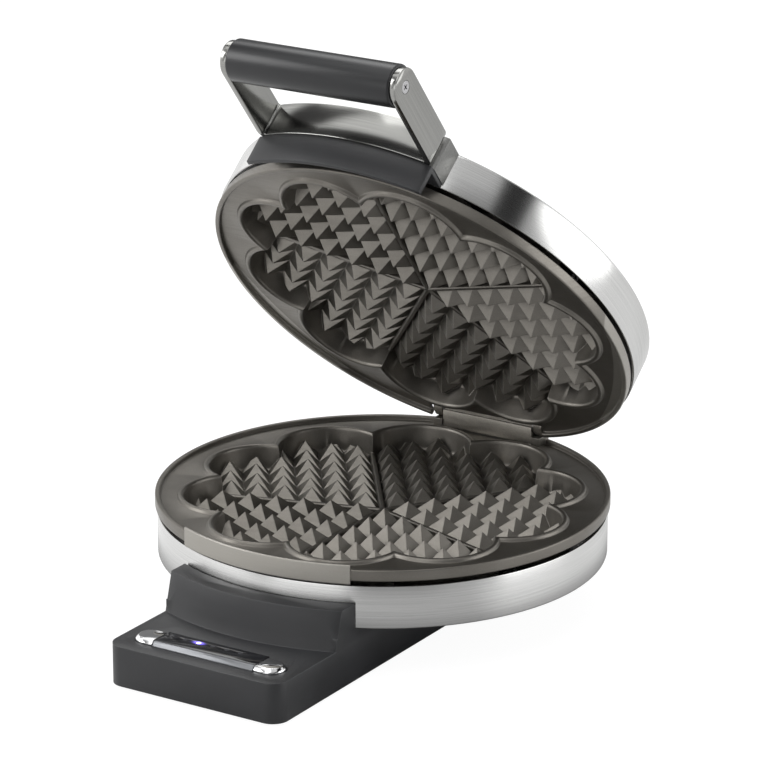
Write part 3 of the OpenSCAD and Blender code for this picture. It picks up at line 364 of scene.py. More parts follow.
def place(tree, source="Object", scale=(1, 1, 1), swing=0.0):
    # coordinates of the piece; swing turns them to lie with the open lid
    coords = addNode(tree, "ShaderNodeTexCoord")
    mapped = addNode(tree, "ShaderNodeMapping", {"Vector": coords.outputs[source],
                                                 "Rotation": (swing, 0, 0)})
    stretched = addNode(tree, "ShaderNodeMapping", {"Vector": mapped.outputs["Vector"], "Scale": scale})
    return stretched.outputs["Vector"]


def noise(tree, vector, scale, detail=3.0, roughness=0.55):
    return addNode(tree, "ShaderNodeTexNoise", {"Vector": vector, "Scale": scale, "Detail": detail,
                                                "Roughness": roughness}).outputs["Fac"]


def spread(tree, value, low, high, fromLow=0.3, fromHigh=0.7):
    return addNode(tree, "ShaderNodeMapRange", {"Value": value, "From Min": fromLow, "From Max": fromHigh,
                                                "To Min": low, "To Max": high}).outputs["Result"]


def number(tree, operation, first, second):
    return addNode(tree, "ShaderNodeMath", {0: first, 1: second}, operation=operation).outputs["Value"]


def vector(tree, operation, first, second=(0, 0, 0)):
    # dot products, distances and lengths come out as a number, all else as a vector
    node = addNode(tree, "ShaderNodeVectorMath", {0: first, 1: second}, operation=operation)
    return node.outputs["Value" if operation in ("DOT_PRODUCT", "DISTANCE", "LENGTH") else "Vector"]


def between(tree, factor, first, second):
    mix = addNode(tree, "ShaderNodeMix", {"Factor": factor}, data_type="RGBA")
    colours = [socket for socket in mix.inputs if socket.type == "RGBA"]
    for socket, value in zip(colours, (first, second)):
        if isinstance(value, bpy.types.NodeSocket):
            tree.links.new(value, socket)
        else:
            socket.default_value = (*value, 1)
    return [socket for socket in mix.outputs if socket.type == "RGBA"][0]


def bump(tree, height, strength, distance, normal=None):
    inputs = {"Height": height, "Strength": strength, "Distance": distance}
    if normal:
        inputs["Normal"] = normal
    return addNode(tree, "ShaderNodeBump", inputs).outputs["Normal"]


def edgeWearAndHighlight(tree, radius):
    # 1 on sharp edges, 0 on flats: how far the rounded normal leans away from the true one; it places edge wear
    #                               and painted edge highlights
    rounded = addNode(tree, "ShaderNodeBevel", {"Radius": radius}, samples=4).outputs["Normal"]
    flat = addNode(tree, "ShaderNodeNewGeometry").outputs["Normal"]
    return spread(tree, vector(tree, "DOT_PRODUCT", rounded, flat), 1.0, 0.0, 0.80, 0.99), rounded


steelFinish = {
    "colour": (0.70, 0.70, 0.69),
    "dark": (0.56, 0.56, 0.555),
    "roughness": 0.22,
    "stretch": (14, 2600, 2600),
    "depth": 0.00001,
    "cloud": 26,
    "cloudDepth": 0.0004,
    "anisotropy": 0.8,
}


def brushedSteel(name, source="UV", swing=0.0, **own):
    finish = {**steelFinish, **own}
    material, tree, shader = startMaterial(name, 1.0)
    fine = noise(tree, place(tree, source, finish["stretch"], swing), 1.0, 4.0, 0.6)
    cloud = noise(tree, place(tree, "Object", (1, 1, 1), swing), finish["cloud"], 2.0)
    tint = between(tree, spread(tree, fine, 0, 1, 0.25, 0.75), finish["dark"], finish["colour"])
    tree.links.new(tint, shader.inputs["Base Color"])
    level = finish["roughness"]
    tree.links.new(spread(tree, fine, level * 1.25, level * 0.85), shader.inputs["Roughness"])
    waves = bump(tree, cloud, 0.05, finish["cloudDepth"])
    tree.links.new(bump(tree, fine, 0.35, finish["depth"], waves), shader.inputs["Normal"])
    shader.inputs["Anisotropic"].default_value = finish["anisotropy"]
    if source == "UV":
        shader.inputs["Anisotropic Rotation"].default_value = 0.25
        tangent = addNode(tree, "ShaderNodeTangent", direction_type="UV_MAP", uv_map="brush")
        tree.links.new(tangent.outputs["Tangent"], shader.inputs["Tangent"])
    return material


nonStickFinish = {
    "colour": (0.150, 0.140, 0.124),
    "light": (0.185, 0.174, 0.156),
    # worn: edge colour, lighter partly for wear and partly as a painted edge highlight
    "wornAndHighlight": (0.34, 0.325, 0.30),
    # lip: paler colour of the raised lip, a painted highlight
    "lip": (0.36, 0.345, 0.315),
    "lipStart": 0.0951,
    "lipFade": 0.0003,
    "grain": 2400,
    "grainDepth": 0.00006,
    "speckLight": 1.5,
    "cloud": 55,
    "brush": (60, 60, 1600),
    "brushDepth": 0.00005,
    "roughness": (0.32, 0.44),
    "metallic": 0.85,
    "edge": 0.0005,
}


def nonStick(name, shade=1.0):
    # the raised lip, just beyond the rim's radius, gets a paler tint, a painted highlight for the light its outer
    # face catches
    finish = nonStickFinish
    material, tree, shader = startMaterial(name, finish["metallic"])
    spot = place(tree)
    grain = noise(tree, spot, finish["grain"], 3.0, 0.7)
    cloud = noise(tree, spot, finish["cloud"])
    brush = noise(tree, place(tree, "Object", finish["brush"]), 1.0)
    wearAndHighlight, rounded = edgeWearAndHighlight(tree, finish["edge"])
    colour, light, wornAndHighlight = ([c * shade for c in finish[key]] for key in ("colour", "light", "wornAndHighlight"))
    speck = [c * shade * finish["speckLight"] for c in light]
    away = vector(tree, "MULTIPLY", vector(tree, "SUBTRACT", spot, drumMiddle), (1, 1, 0))
    lipHighlightMask = spread(tree, vector(tree, "LENGTH", away), 0, 1, finish["lipStart"],
                   finish["lipStart"] + finish["lipFade"])
    tint = between(tree, spread(tree, cloud, 0, 1), colour, light)
    # painted highlight: the raised lip turns paler
    tint = between(tree, lipHighlightMask, tint, finish["lip"])
    tint = between(tree, spread(tree, grain, 0, 0.35, 0.35, 0.75), tint, speck)
    # lighter edges, partly wear and partly a painted highlight along ridges, rims and dividers
    tint = between(tree, number(tree, "MULTIPLY", wearAndHighlight, spread(tree, cloud, 0.25, 0.75)), tint, wornAndHighlight)
    tree.links.new(tint, shader.inputs["Base Color"])
    tree.links.new(spread(tree, brush, *finish["roughness"]), shader.inputs["Roughness"])
    lines = bump(tree, brush, 0.12, finish["brushDepth"], rounded)
    tree.links.new(bump(tree, grain, 0.30, finish["grainDepth"], lines), shader.inputs["Normal"])
    return material


plasticFinish = {
    "colour": (0.016, 0.0165, 0.018),
    "light": (0.024, 0.0245, 0.027),
    # worn: edge colour, partly wear and partly a painted highlight line along the edges
    "wornAndHighlight": (0.15, 0.15, 0.16),
    "wearAndHighlight": 0.40,
    "grain": 5200,
    "depth": 0.00003,
    "cloud": 38,
    "roughness": (0.40, 0.52),
    "edge": 0.0006,
}


def satinPlastic(name, **own):
    finish = {**plasticFinish, **own}
    material, tree, shader = startMaterial(name)
    spot = place(tree)
    grain = noise(tree, spot, finish["grain"], 2.0, 0.6)
    cloud = noise(tree, spot, finish["cloud"])
    wearAndHighlight, rounded = edgeWearAndHighlight(tree, finish["edge"])
    tint = between(tree, spread(tree, cloud, 0, 1), finish["colour"], finish["light"])
    # lighter edges, partly wear and partly a painted highlight, a lit line along the console's edges
    tint = between(tree, number(tree, "MULTIPLY", wearAndHighlight, finish["wearAndHighlight"]), tint, finish["wornAndHighlight"])
    tree.links.new(tint, shader.inputs["Base Color"])
    tree.links.new(spread(tree, grain, *finish["roughness"]), shader.inputs["Roughness"])
    tree.links.new(bump(tree, grain, 0.25, finish["depth"], rounded), shader.inputs["Normal"])
    return material


chromeFinish = {
    "colour": (0.80, 0.80, 0.81),
    "dull": 0.94,
    "smudge": 140,
    "roughness": (0.056, 0.105),
    "edge": 0.0003,
}


def polishedMetal(name):
    material, tree, shader = startMaterial(name, 1.0)
    smudge = noise(tree, place(tree), chromeFinish["smudge"])
    colour = chromeFinish["colour"]
    tint = between(tree, spread(tree, smudge, 0, 1), [c * chromeFinish["dull"] for c in colour], colour)
    tree.links.new(tint, shader.inputs["Base Color"])
    tree.links.new(spread(tree, smudge, *chromeFinish["roughness"]), shader.inputs["Roughness"])
    tree.links.new(edgeWearAndHighlight(tree, chromeFinish["edge"])[1], shader.inputs["Normal"])
    return material


insideFinish = {"roughness": 0.5, "metallic": 0.0, "grain": 1800, "depth": 0.00004, "contrast": 0.2,
                "wearAndHighlight": 0.3, "wornLight": (1.5, 0.03), "edge": 0.0003}


def mouldedStuff(name, colour, **own):
    # for what is inside: ceramic, board, screws, sheet
    finish = {**insideFinish, **own}
    material, tree, shader = startMaterial(name, finish["metallic"])
    speck = noise(tree, place(tree), finish["grain"])
    wearAndHighlight, rounded = edgeWearAndHighlight(tree, finish["edge"])
    times, plus = finish["wornLight"]
    tint = between(tree, spread(tree, speck, 0, 1), [c * (1 - finish["contrast"]) for c in colour], colour)
    tint = between(tree, number(tree, "MULTIPLY", wearAndHighlight, finish["wearAndHighlight"]), tint,
                   [min(1, c * times + plus) for c in colour])
    tree.links.new(tint, shader.inputs["Base Color"])
    level = finish["roughness"]
    tree.links.new(spread(tree, speck, level * 0.85, level * 1.15), shader.inputs["Roughness"])
    tree.links.new(bump(tree, speck, 0.2, finish["depth"], rounded), shader.inputs["Normal"])
    return material


lampLow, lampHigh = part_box("light_pipe_lit")
lampSpot = Vector(((lampLow.x + lampHigh.x) / 2, (lampLow.y + lampHigh.y) / 2, lampHigh.z))
glow = {"colour": (0.22, 0.16, 1.0, 1), "across": 0.0055, "along": 0.0026, "fall": 2.2, "strength": 2.4}


def lampGlow(tree, shader):
    # soft blue light that spreads from the lamp over the gloss around it, wider to the sides
    spot = addNode(tree, "ShaderNodeTexCoord").outputs["Object"]
    squeeze = (1 / glow["across"], 1 / glow["along"], 1 / glow["along"])
    far = vector(tree, "LENGTH", vector(tree, "MULTIPLY", vector(tree, "SUBTRACT", spot, lampSpot), squeeze))
    near = addNode(tree, "ShaderNodeMapRange", {"Value": far, "From Min": 0.0, "From Max": 1.0, "To Min": 1.0,
                                                "To Max": 0.0}, interpolation_type="SMOOTHERSTEP")
    power = number(tree, "POWER", near.outputs["Result"], glow["fall"])
    shader.inputs["Emission Color"].default_value = glow["colour"]
    tree.links.new(number(tree, "MULTIPLY", power, glow["strength"]), shader.inputs["Emission Strength"])


windowFinish = {
    "colour": (0.006, 0.006, 0.008),
    "light": (0.012, 0.012, 0.015),
    "smudge": 160,
    "roughness": (0.05, 0.11),
    "edge": 0.0004,
}


def glossWindow(name):
    material, tree, shader = startMaterial(name)
    smudge = noise(tree, place(tree), windowFinish["smudge"])
    tint = between(tree, spread(tree, smudge, 0, 1), windowFinish["colour"], windowFinish["light"])
    tree.links.new(tint, shader.inputs["Base Color"])
    tree.links.new(spread(tree, smudge, *windowFinish["roughness"]), shader.inputs["Roughness"])
    tree.links.new(edgeWearAndHighlight(tree, windowFinish["edge"])[1], shader.inputs["Normal"])
    lampGlow(tree, shader)
    return material


guideFinish = {
    "plain": ((0.05, 0.05, 0.055), (0.075, 0.075, 0.085)),
    "lit": ((0.30, 0.26, 0.95), (0.42, 0.40, 1.0)),
    "roughness": 0.12,
    "haze": 900,
    "shine": (0.55, 0.50, 1.0, 1),
    "shineLevel": 5.0,
}


def lightGuide(name, look):
    material, tree, shader = startMaterial(name, 0.0, guideFinish["roughness"])
    haze = noise(tree, place(tree), guideFinish["haze"], 2.0)
    tree.links.new(between(tree, spread(tree, haze, 0, 1), *guideFinish[look]), shader.inputs["Base Color"])
    if look == "lit":
        shader.inputs["Emission Color"].default_value = guideFinish["shine"]
        shader.inputs["Emission Strength"].default_value = guideFinish["shineLevel"]
    return material


# One finish for each material slot of the record, then the pieces that have their own
finishes = {
    "black_plastic": satinPlastic("satinPlastic"),
    "black_rubber": satinPlastic("footRubber", colour=(0.014, 0.014, 0.014), light=(0.022, 0.022, 0.022),
                                 roughness=(0.6, 0.75)),
    "gloss_black": glossWindow("glossWindow"),
    "silver_trim": brushedSteel("silverTrim", "Object", colour=(0.22, 0.225, 0.235),
                                dark=(0.17, 0.175, 0.185), roughness=0.33, stretch=(20, 2600, 2600)),
    "chrome": polishedMetal("chromeCap"),
    "light_guide": lightGuide("lightGuide", "plain"),
    "light_guide_lit": lightGuide("lightGuideLit", "lit"),
    "board": mouldedStuff("boardGreen", (0.03, 0.16, 0.06), roughness=0.4),
    "screw_steel": mouldedStuff("screwSteel", (0.55, 0.55, 0.56), roughness=0.3, metallic=1.0, grain=2600,
                                depth=0.00001, contrast=0.12),
    "component": mouldedStuff("darkComponent", (0.05, 0.05, 0.055), roughness=0.45),
    "ivory_plastic": mouldedStuff("ivoryPlastic", (0.72, 0.70, 0.62), roughness=0.45),
    "brass": mouldedStuff("brassScrew", (0.72, 0.50, 0.20), roughness=0.3, metallic=1.0),
    "stainless": brushedSteel("brushedBand"),
    "sheet_steel": mouldedStuff("sheetSteel", (0.52, 0.52, 0.53), roughness=0.36, metallic=1.0, grain=700,
                                depth=0.00002),
    "non_stick": nonStick("nonStick"),
    "heater_sheath": mouldedStuff("heaterSheath", (0.16, 0.15, 0.14), metallic=0.8, grain=1200,
                                  depth=0.00003, contrast=0.35),
    "reflector": mouldedStuff("reflectorSheet", (0.78, 0.78, 0.80), roughness=0.25, metallic=1.0, grain=500,
                              depth=0.00002, contrast=0.1),
    "ceramic": mouldedStuff("ceramicBody", (0.72, 0.69, 0.62), roughness=0.7),
    "coated_steel": nonStick("coatedSteel", 1.7),
    "sleeve": mouldedStuff("glassSleeve", (0.66, 0.62, 0.54), roughness=0.85, grain=3200, depth=0.0001,
                           contrast=0.35),
}
strapSteel = brushedSteel("strapSteel", colour=(0.35, 0.35, 0.335), dark=(0.26, 0.26, 0.25), roughness=0.14)
ownFinish = {
    "grip": satinPlastic("gripPlastic", colour=(0.008, 0.0085, 0.010), light=(0.012, 0.0125, 0.014),
                         roughness=(0.29, 0.36)),
    "handle_spacer": brushedSteel("spacerSteel", "Object", lidOpen, colour=(0.26, 0.26, 0.25),
                                  dark=(0.18, 0.18, 0.175), roughness=0.3, stretch=(30, 1600, 1600)),
}
print("materials made:", len(finishes))

slotOf = {row["node"]: row["material_slot"] for row in frame["record"]["subparts"]}
for name, node in nodes.items():
    node.data.materials.clear()
    node.data.materials.append(ownFinish.get(name, finishes[slotOf[name]]))


# Both plates: the raised lip over the console, the notches for the hinge and two ears beside its block
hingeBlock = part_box("hinge_block")
plates = {
    "lowerRadius": 95.0,
    "upperRadius": 94.1,
    "rimLevel": 48.45,
    "shutGap": 0.3,
    "past": 4,
    "above": 2,
    "lipHalf": 24.6,
    "lipSteps": 50,
    "lipInner": 94.5,
    "lipOuter": 96.0,
    "lipRise": 2.4,
    "lipDrop": 6.0,
    "lipFoot": 1.2,
    "lipFootRise": 1.4,
    "lipEdge": 0.4,
    "lipOuterRound": 0.45,
    "lipInnerRound": 0.35,
    "lipSlope": [(0.0, 0.4), (0.3, -0.1), (1.2, -0.4)],
    "blockHalf": (hingeBlock[1].x - hingeBlock[0].x) / mm / 2 + 0.2,
    "blockFront": 83.7,
    "blockDepth": 5.4,
    "earHalf": 2.1,
    "earFront": 83.5,
    "earBack": 91.6,
    "earDepth": 4.4,
    "earTop": 1.9,
    "bracketHalf": 28.2,
    "bracketFront": 83.4,
    "bracketDepth": 16,
    "pinHalf": 30.0,
    "pinFront": 86.0,
    "pinRoom": 3.0,
}


def lipProfile():
    # section of the lip: its foot, the outer face, the rounded top and the slope back to the rim
    inner, outer, rise, drop = (plates[key] for key in ("lipInner", "lipOuter", "lipRise", "lipDrop"))
    edge, outerRound, innerRound = (plates[key] for key in ("lipEdge", "lipOuterRound", "lipInnerRound"))
    profile = [(inner - plates["lipFoot"], -drop + plates["lipFootRise"]), (inner - edge, -drop),
               (outer - edge, -drop), (outer, -drop + edge)]
    profile += roundCorner(outer - outerRound, rise - outerRound, outerRound, 0, 90, 3)
    profile += roundCorner(inner + innerRound, rise - innerRound, innerRound, 90, 180, 3)
    return profile + [(inner - back, height) for back, height in plates["lipSlope"]]


def buildLowerPlate():
    half, ear, far = plates["blockHalf"], plates["earHalf"], plates["lowerRadius"] + plates["past"]
    lip = arcBar(lipProfile(), -90, plates["lipHalf"], plates["lipSteps"])
    core = combine(cookingFace(plates["lowerRadius"]), [lip])
    notch = block(-half, half, plates["blockFront"], far, -plates["blockDepth"], plates["above"])
    core = combine(core, [notch], "DIFFERENCE")
    ears = []
    for middle in (-half - ear, half + ear):
        ears.append(block(middle - ear, middle + ear, plates["earFront"], plates["earBack"],
                          -plates["earDepth"], plates["earTop"]))
    core = combine(core, ears)
    lift = Matrix.Translation((0, 0, plates["rimLevel"] * mm))
    newPiece("lowerCookingPlate", core, baseSpot() @ lift, "base", ("lower_plate",),
             finishes["non_stick"])


def buildUpperPlate():
    half, pinHalf, far = plates["bracketHalf"], plates["pinHalf"], plates["lowerRadius"] + plates["past"]
    deep = -plates["bracketDepth"]
    notch = block(-half, half, plates["bracketFront"], far, deep, plates["above"])
    pinSpace = block(-pinHalf, pinHalf, plates["pinFront"], far, deep, -plates["pinRoom"])
    core = combine(cookingFace(plates["upperRadius"]), [combine(notch, [pinSpace])], "DIFFERENCE")
    core.transform(Matrix.Scale(-1, 4, (0, 0, 1)))
    lift = Matrix.Translation((0, 0, (plates["rimLevel"] + plates["shutGap"]) * mm))
    newPiece("upperCookingPlate", core, lidSpot() @ lift, "lid", ("upper_plate",),
             finishes["non_stick"])


buildLowerPlate()
buildUpperPlate()
print("cooking plates made")


# Steel bands: turned skins with the brushing laid round them
def brushRound(bm, radius):
    layer = bm.loops.layers.uv.new("brush")
    for face in bm.faces:
        centre = face.calc_center_median()
        flat = abs(face.normal.z) > 0.8
        middle = math.atan2(centre.y, centre.x)
        for loop in face.loops:
            p = loop.vert.co
            if flat:
                loop[layer].uv = (p.x * mm, p.y * mm)
                continue
            turn = (math.atan2(p.y, p.x) - middle + math.pi) % (2 * math.pi) - math.pi
            loop[layer].uv = ((middle + turn) * radius * mm, p.z * mm)


bands = {
    "steps": 240,
    "sheet": 0.8,
    "edgeRound": 0.3,
    "smooth": 40,
    "lowerRadius": 94.05,
    "lowerBottom": 23.15,
    "lowerHeight": 18.2,
    "foldRound": 0.6,
    "inLip": 4.5,
    "inLipThin": 0.2,
    "lidRadius": 94.8,
    "lidBottom": 55.15,
    "lidHeight": 17.5,
    "lidRound": 1.6,
    "topRings": (0.01, 30, 60, 85),
    "slotHalf": 28.2,
    "slotFront": 70,
    "slotPast": 4,
    "slotBelow": 1,
    "slotAbovePin": 7,
}


def buildLowerBand():
    r, low, fold, edge = (bands[key] for key in ("lowerRadius", "lowerBottom", "foldRound", "edgeRound"))
    high = low + bands["lowerHeight"]
    inside, lipTop = r - bands["sheet"], low + bands["sheet"] - bands["inLipThin"]
    profile = roundCorner(r - fold, low + fold, fold, -90, 0, 3)
    profile += roundCorner(r - edge, high - edge, edge, 0, 90, 2)
    profile += [(inside, high), (inside, lipTop), (inside - bands["inLip"], lipTop),
                (inside - bands["inLip"], low)]
    bm = lathe(profile, bands["steps"])
    bmesh.ops.recalc_face_normals(bm, faces=bm.faces)
    brushRound(bm, r)
    newPiece("lowerSteelBand", bm, baseSpot(), "base", ("lower_band",), finishes["stainless"],
             bands["smooth"])


def buildLidShell():
    r, low, turn, edge = (bands[key] for key in ("lidRadius", "lidBottom", "lidRound", "edgeRound"))
    high, sheet = low + bands["lidHeight"], bands["sheet"]
    profile = [(x, high) for x in bands["topRings"]]
    profile += roundCorner(r - turn, high - turn, turn, 90, 0, 6)
    profile += roundCorner(r - edge, low + edge, edge, 0, -90, 2)
    profile += [(r - sheet, low)]
    profile += roundCorner(r - turn, high - turn, turn - sheet, 0, 90, 4)
    profile += [(bands["topRings"][0], high - sheet)]
    bm = lathe(profile, bands["steps"])
    slot = block(-bands["slotHalf"], bands["slotHalf"], bands["slotFront"], r + bands["slotPast"],
                 low - bands["slotBelow"], lidPivot.z / mm + bands["slotAbovePin"])
    bm = combine(bm, [slot], "DIFFERENCE")
    brushRound(bm, r)
    newPiece("lidSteelShell", bm, lidSpot(), "lid", ("lid_shell",), finishes["stainless"],
             bands["smooth"])


buildLowerBand()
buildLidShell()
print("steel bands made")


# Handle strap: one flat strip bent round the drum, with its ends rounded at the grip
strap = {
    "arcRadius": 105.9,
    "armCentre": 39.8,
    "gripY": 139.3,
    "tip": 7.8,
    "thick": 2.8,
    "height": 15.6,
    "bottom": 56.55,
    "bend": 2.2,
    "edge": 0.4,
    "edgeShare": 0.3,
    "leastHeight": 0.9,
    "tipSteps": 8,
    "armSteps": 6,
    "bendSteps": 6,
    "arcSteps": 30,
    "seatOuter": 2.95,
    "seatInner": 1.6,
    "seatDepth": 1.3,
    "seatPast": 0.1,
    "seatSides": 48,
    "smooth": 35,
}


def strapPath():
    # points of the strip's middle line, from the left arm's tip to the right arm's
    radius, x, bend, tip = (strap[key] for key in ("arcRadius", "armCentre", "bend", "tip"))
    centreX = x - bend
    centreY = -math.sqrt((radius + bend) ** 2 - centreX ** 2)
    meet = math.atan2(centreY, centreX)
    tipY = -strap["gripY"] - tip
    points = []
    for k in range(strap["tipSteps"] + 1):
        share = 1 - math.cos(math.pi / 2 * k / strap["tipSteps"])
        points.append((x, tipY + tip * share))
    for k in range(1, strap["armSteps"]):
        points.append((x, tipY + tip + (centreY - tipY - tip) * k / strap["armSteps"]))
    for k in range(strap["bendSteps"] + 1):
        angle = (math.pi + meet) * k / strap["bendSteps"]
        points.append((centreX + bend * math.cos(angle), centreY + bend * math.sin(angle)))
    halfSpan = math.pi / 2 + meet
    for k in range(1, strap["arcSteps"]):
        angle = meet - halfSpan * k / strap["arcSteps"]
        points.append((radius * math.cos(angle), radius * math.sin(angle)))
    points.append((0.0, -radius))
    return points + [(-px, py) for px, py in reversed(points[:-1])]


def stripSection(height):
    # the strip's section with soft edges, three points to a corner
    half, top = strap["thick"] / 2, height / 2
    edge = min(strap["edge"], height * strap["edgeShare"])
    inset = edge * strap["edgeShare"]
    corner = [(half, top - edge), (half - inset, top - inset), (half - edge, top)]
    section = []
    for across, up in ((-1, -1), (1, -1), (1, 1), (-1, 1)):
        turned = [(across * x, up * z) for x, z in corner]
        section += turned if across == up else reversed(turned)
    return section


def screwSeat(side, height):
    # cone that opens the arm for its countersunk screw, from the outer face inwards
    outer, deep, past = strap["armCentre"] + strap["thick"] / 2, strap["seatDepth"], strap["seatPast"]
    bm = bmesh.new()
    bmesh.ops.create_cone(bm, cap_ends=True, segments=strap["seatSides"], radius1=strap["seatInner"],
                          radius2=strap["seatOuter"], depth=deep + 2 * past)
    bm.transform(Matrix.Translation((side * (outer - deep / 2 + past), -strap["gripY"], height))
                 @ Matrix.Rotation(side * math.pi / 2, 4, "Y"))
    return bm


def buildStrap():
    points = strapPath()
    tipEnd = -strap["gripY"]
    middle = strap["bottom"] + strap["height"] / 2
    rings, lengths, run = [], [], 0.0
    for k, (x, y) in enumerate(points):
        before, after = points[max(k - 1, 0)], points[min(k + 1, len(points) - 1)]
        heading = Vector((after[0] - before[0], after[1] - before[1])).normalized()
        side = Vector((-heading.y, heading.x))
        rise = 1.0
        if y < tipEnd:
            rise = math.sqrt(max(0.0, 1 - ((tipEnd - y) / strap["tip"]) ** 2))
        height = max(strap["height"] * rise, strap["leastHeight"])
        if k:
            run += math.dist((x, y), points[k - 1])
        rings.append([(x + side.x * a, y + side.y * a, middle + b) for a, b in stripSection(height)])
        lengths.append(run)
    bm = bmesh.new()
    made = [[bm.verts.new(p) for p in ring] for ring in rings]
    layer = bm.loops.layers.uv.new("brush")
    count = len(rings[0])
    for s in range(len(rings) - 1):
        for k in range(count):
            j = (k + 1) % count
            face = bm.faces.new((made[s][k], made[s][j], made[s + 1][j], made[s + 1][k]))
            for loop, where in zip(face.loops, (s, s, s + 1, s + 1)):
                loop[layer].uv = (lengths[where] * mm, loop.vert.co.z * mm)
    bm.faces.new(made[0])
    bm.faces.new(made[-1])
    bm = combine(bm, [screwSeat(side, middle) for side in (-1, 1)], "DIFFERENCE")
    newPiece("handleStrap", bm, lidSpot(), "lid", ("handle_strap",), strapSteel, strap["smooth"])
    print("handle strap made")


buildStrap()


# Kept CAD pieces: welded, flats joined, then a small rounding of the edges, widths in millimetres
rounding = {
    "weld": 0.00001,
    "flatAngle": 0.08,
    "segments": 2,
    "edgeAngle": 38,
    "smoothAngle": 30,
    "widths": {"base_housing": 0.7, "handle_skirt": 1.0, "handle_spacer": 0.3, "hinge_block": 0.4,
               "button_minus": 0.35, "button_plus": 0.35, "panel_window": 0.2, "panel_strip": 0.2,
               "base_cover": 0.4, "grip": 0.3},
}


def roundEdges(node, width):
    weld = node.modifiers.new("weld", "WELD")
    weld.merge_threshold = rounding["weld"]
    flat = node.modifiers.new("flat", "DECIMATE")
    flat.decimate_type = "DISSOLVE"
    flat.angle_limit = math.radians(rounding["flatAngle"])
    bevel = node.modifiers.new("rounding", "BEVEL")
    bevel.width = width * mm
    bevel.segments = rounding["segments"]
    bevel.limit_method = "ANGLE"
    bevel.angle_limit = math.radians(rounding["edgeAngle"])


for name, width in rounding["widths"].items():
    roundEdges(nodes[name], width)
for node in nodes.values():
    node.data.shade_smooth()
    node.data.set_sharp_from_angle(angle=math.radians(rounding["smoothAngle"]))
print("kept pieces rounded")


# Camera at the photograph's place
camera = {
    "azimuth": 32.4,
    "elevation": 18.686,
    "roll": 0.051,
    "distance": 1.75149,
    "aimY": -0.0022,
    "aimZ": 0.0968,
    "focalPixels": 4238.4,
    "imagePixels": 760,
    "sensor": 36.0,
    "farthest": 50,
}


def buildCamera():
    azimuth, elevation, roll = (math.radians(camera[key]) for key in ("azimuth", "elevation", "roll"))
    back = Vector((math.sin(azimuth) * math.cos(elevation), -math.cos(azimuth) * math.cos(elevation),
                   math.sin(elevation)))
    right = Vector((0, 0, 1)).cross(back).normalized()
    up = back.cross(right)
    right, up = (right * math.cos(roll) + up * math.sin(roll),
                 up * math.cos(roll) - right * math.sin(roll))
    data = bpy.data.cameras.new("camera")
    data.sensor_width = camera["sensor"]
    data.lens = camera["focalPixels"] * camera["sensor"] / camera["imagePixels"]
    data.clip_end = camera["farthest"]
    thing = bpy.data.objects.new("camera", data)
    bpy.context.scene.collection.objects.link(thing)
    aim = drumMiddle + Vector((0, camera["aimY"], camera["aimZ"]))
    turn = Matrix((right, up, back)).transposed().to_4x4()
    thing.matrix_world = Matrix.Translation(aim + back * camera["distance"]) @ turn
    bpy.context.scene.camera = thing


buildCamera()


# Light: a pale room with softer and darker parts, a floor that keeps the shadow, and two soft boxes.
# Directions are in degrees: azimuth 0 is the front, 90 the right, 180 the back, elevation is up.
# The flag is a dark card, cut to the stretch between two planes that face the way of its pole.
room = {
    "level": 0.48,
    "cards": [
        {"azimuth": 180, "elevation": 12, "inner": 62, "outer": 80, "level": 1.00},
        {"azimuth": -85, "elevation": 22, "inner": 38, "outer": 60, "level": 1.30},
        {"azimuth": 20, "elevation": 15, "inner": 30, "outer": 50, "level": 0.20},
        {"azimuth": -4, "elevation": 4, "inner": 12, "outer": 26, "level": 1.80},
        {"azimuth": 0, "elevation": 90, "inner": 32, "outer": 44, "level": 0.68},
        {"azimuth": -5, "elevation": 54, "inner": 12, "outer": 26, "level": 2.20},
        {"azimuth": -148, "elevation": 16, "inner": 15, "outer": 34, "level": 0.22},
        {"azimuth": -100, "elevation": 46, "inner": 11, "outer": 19, "level": 0.10},
        {"azimuth": -56, "elevation": 66, "inner": 12, "outer": 24, "level": 1.45},
        {"azimuth": -44, "elevation": 36, "inner": 10, "outer": 24, "level": 0.25},
        {"azimuth": -136, "elevation": 48, "inner": 8, "outer": 18, "level": 3.00},
        {"azimuth": 114, "elevation": 15, "inner": 20, "outer": 26, "level": 2.70},
    ],
    "flag": {"azimuth": 95, "elevation": 45, "inner": 38, "outer": 52, "level": 0.01},
    "pole": {"azimuth": 120.6, "elevation": -31.8, "low": -0.01, "high": 0.295, "soft": 0.03},
}


plainWhite = (1, 1, 1, 1)


def towards(azimuth, elevation):
    a, e = math.radians(azimuth), math.radians(elevation)
    return (math.sin(a) * math.cos(e), -math.cos(a) * math.cos(e), math.sin(e))


def cardMask(tree, direction, card):
    # 1 inside the card's round patch of sky or floor, fading to 0 at its outer angle
    near = vector(tree, "DOT_PRODUCT", direction, towards(card["azimuth"], card["elevation"]))
    return addNode(tree, "ShaderNodeMapRange",
                   {"Value": near, "From Min": math.cos(math.radians(card["outer"])),
                    "From Max": math.cos(math.radians(card["inner"])), "To Min": 0.0, "To Max": 1.0},
                   interpolation_type="SMOOTHSTEP").outputs["Result"]


def blend(tree, factor, first, second):
    mix = addNode(tree, "ShaderNodeMix", data_type="FLOAT")
    tree.links.new(factor, mix.inputs["Factor"])
    for key, value in (("A", first), ("B", second)):
        if isinstance(value, bpy.types.NodeSocket):
            tree.links.new(value, mix.inputs[key])
        else:
            mix.inputs[key].default_value = value
    return mix.outputs["Result"]


def cardLevels(tree, direction, level, cards):
    for card in cards:
        level = blend(tree, cardMask(tree, direction, card), level, card["level"])
    return level


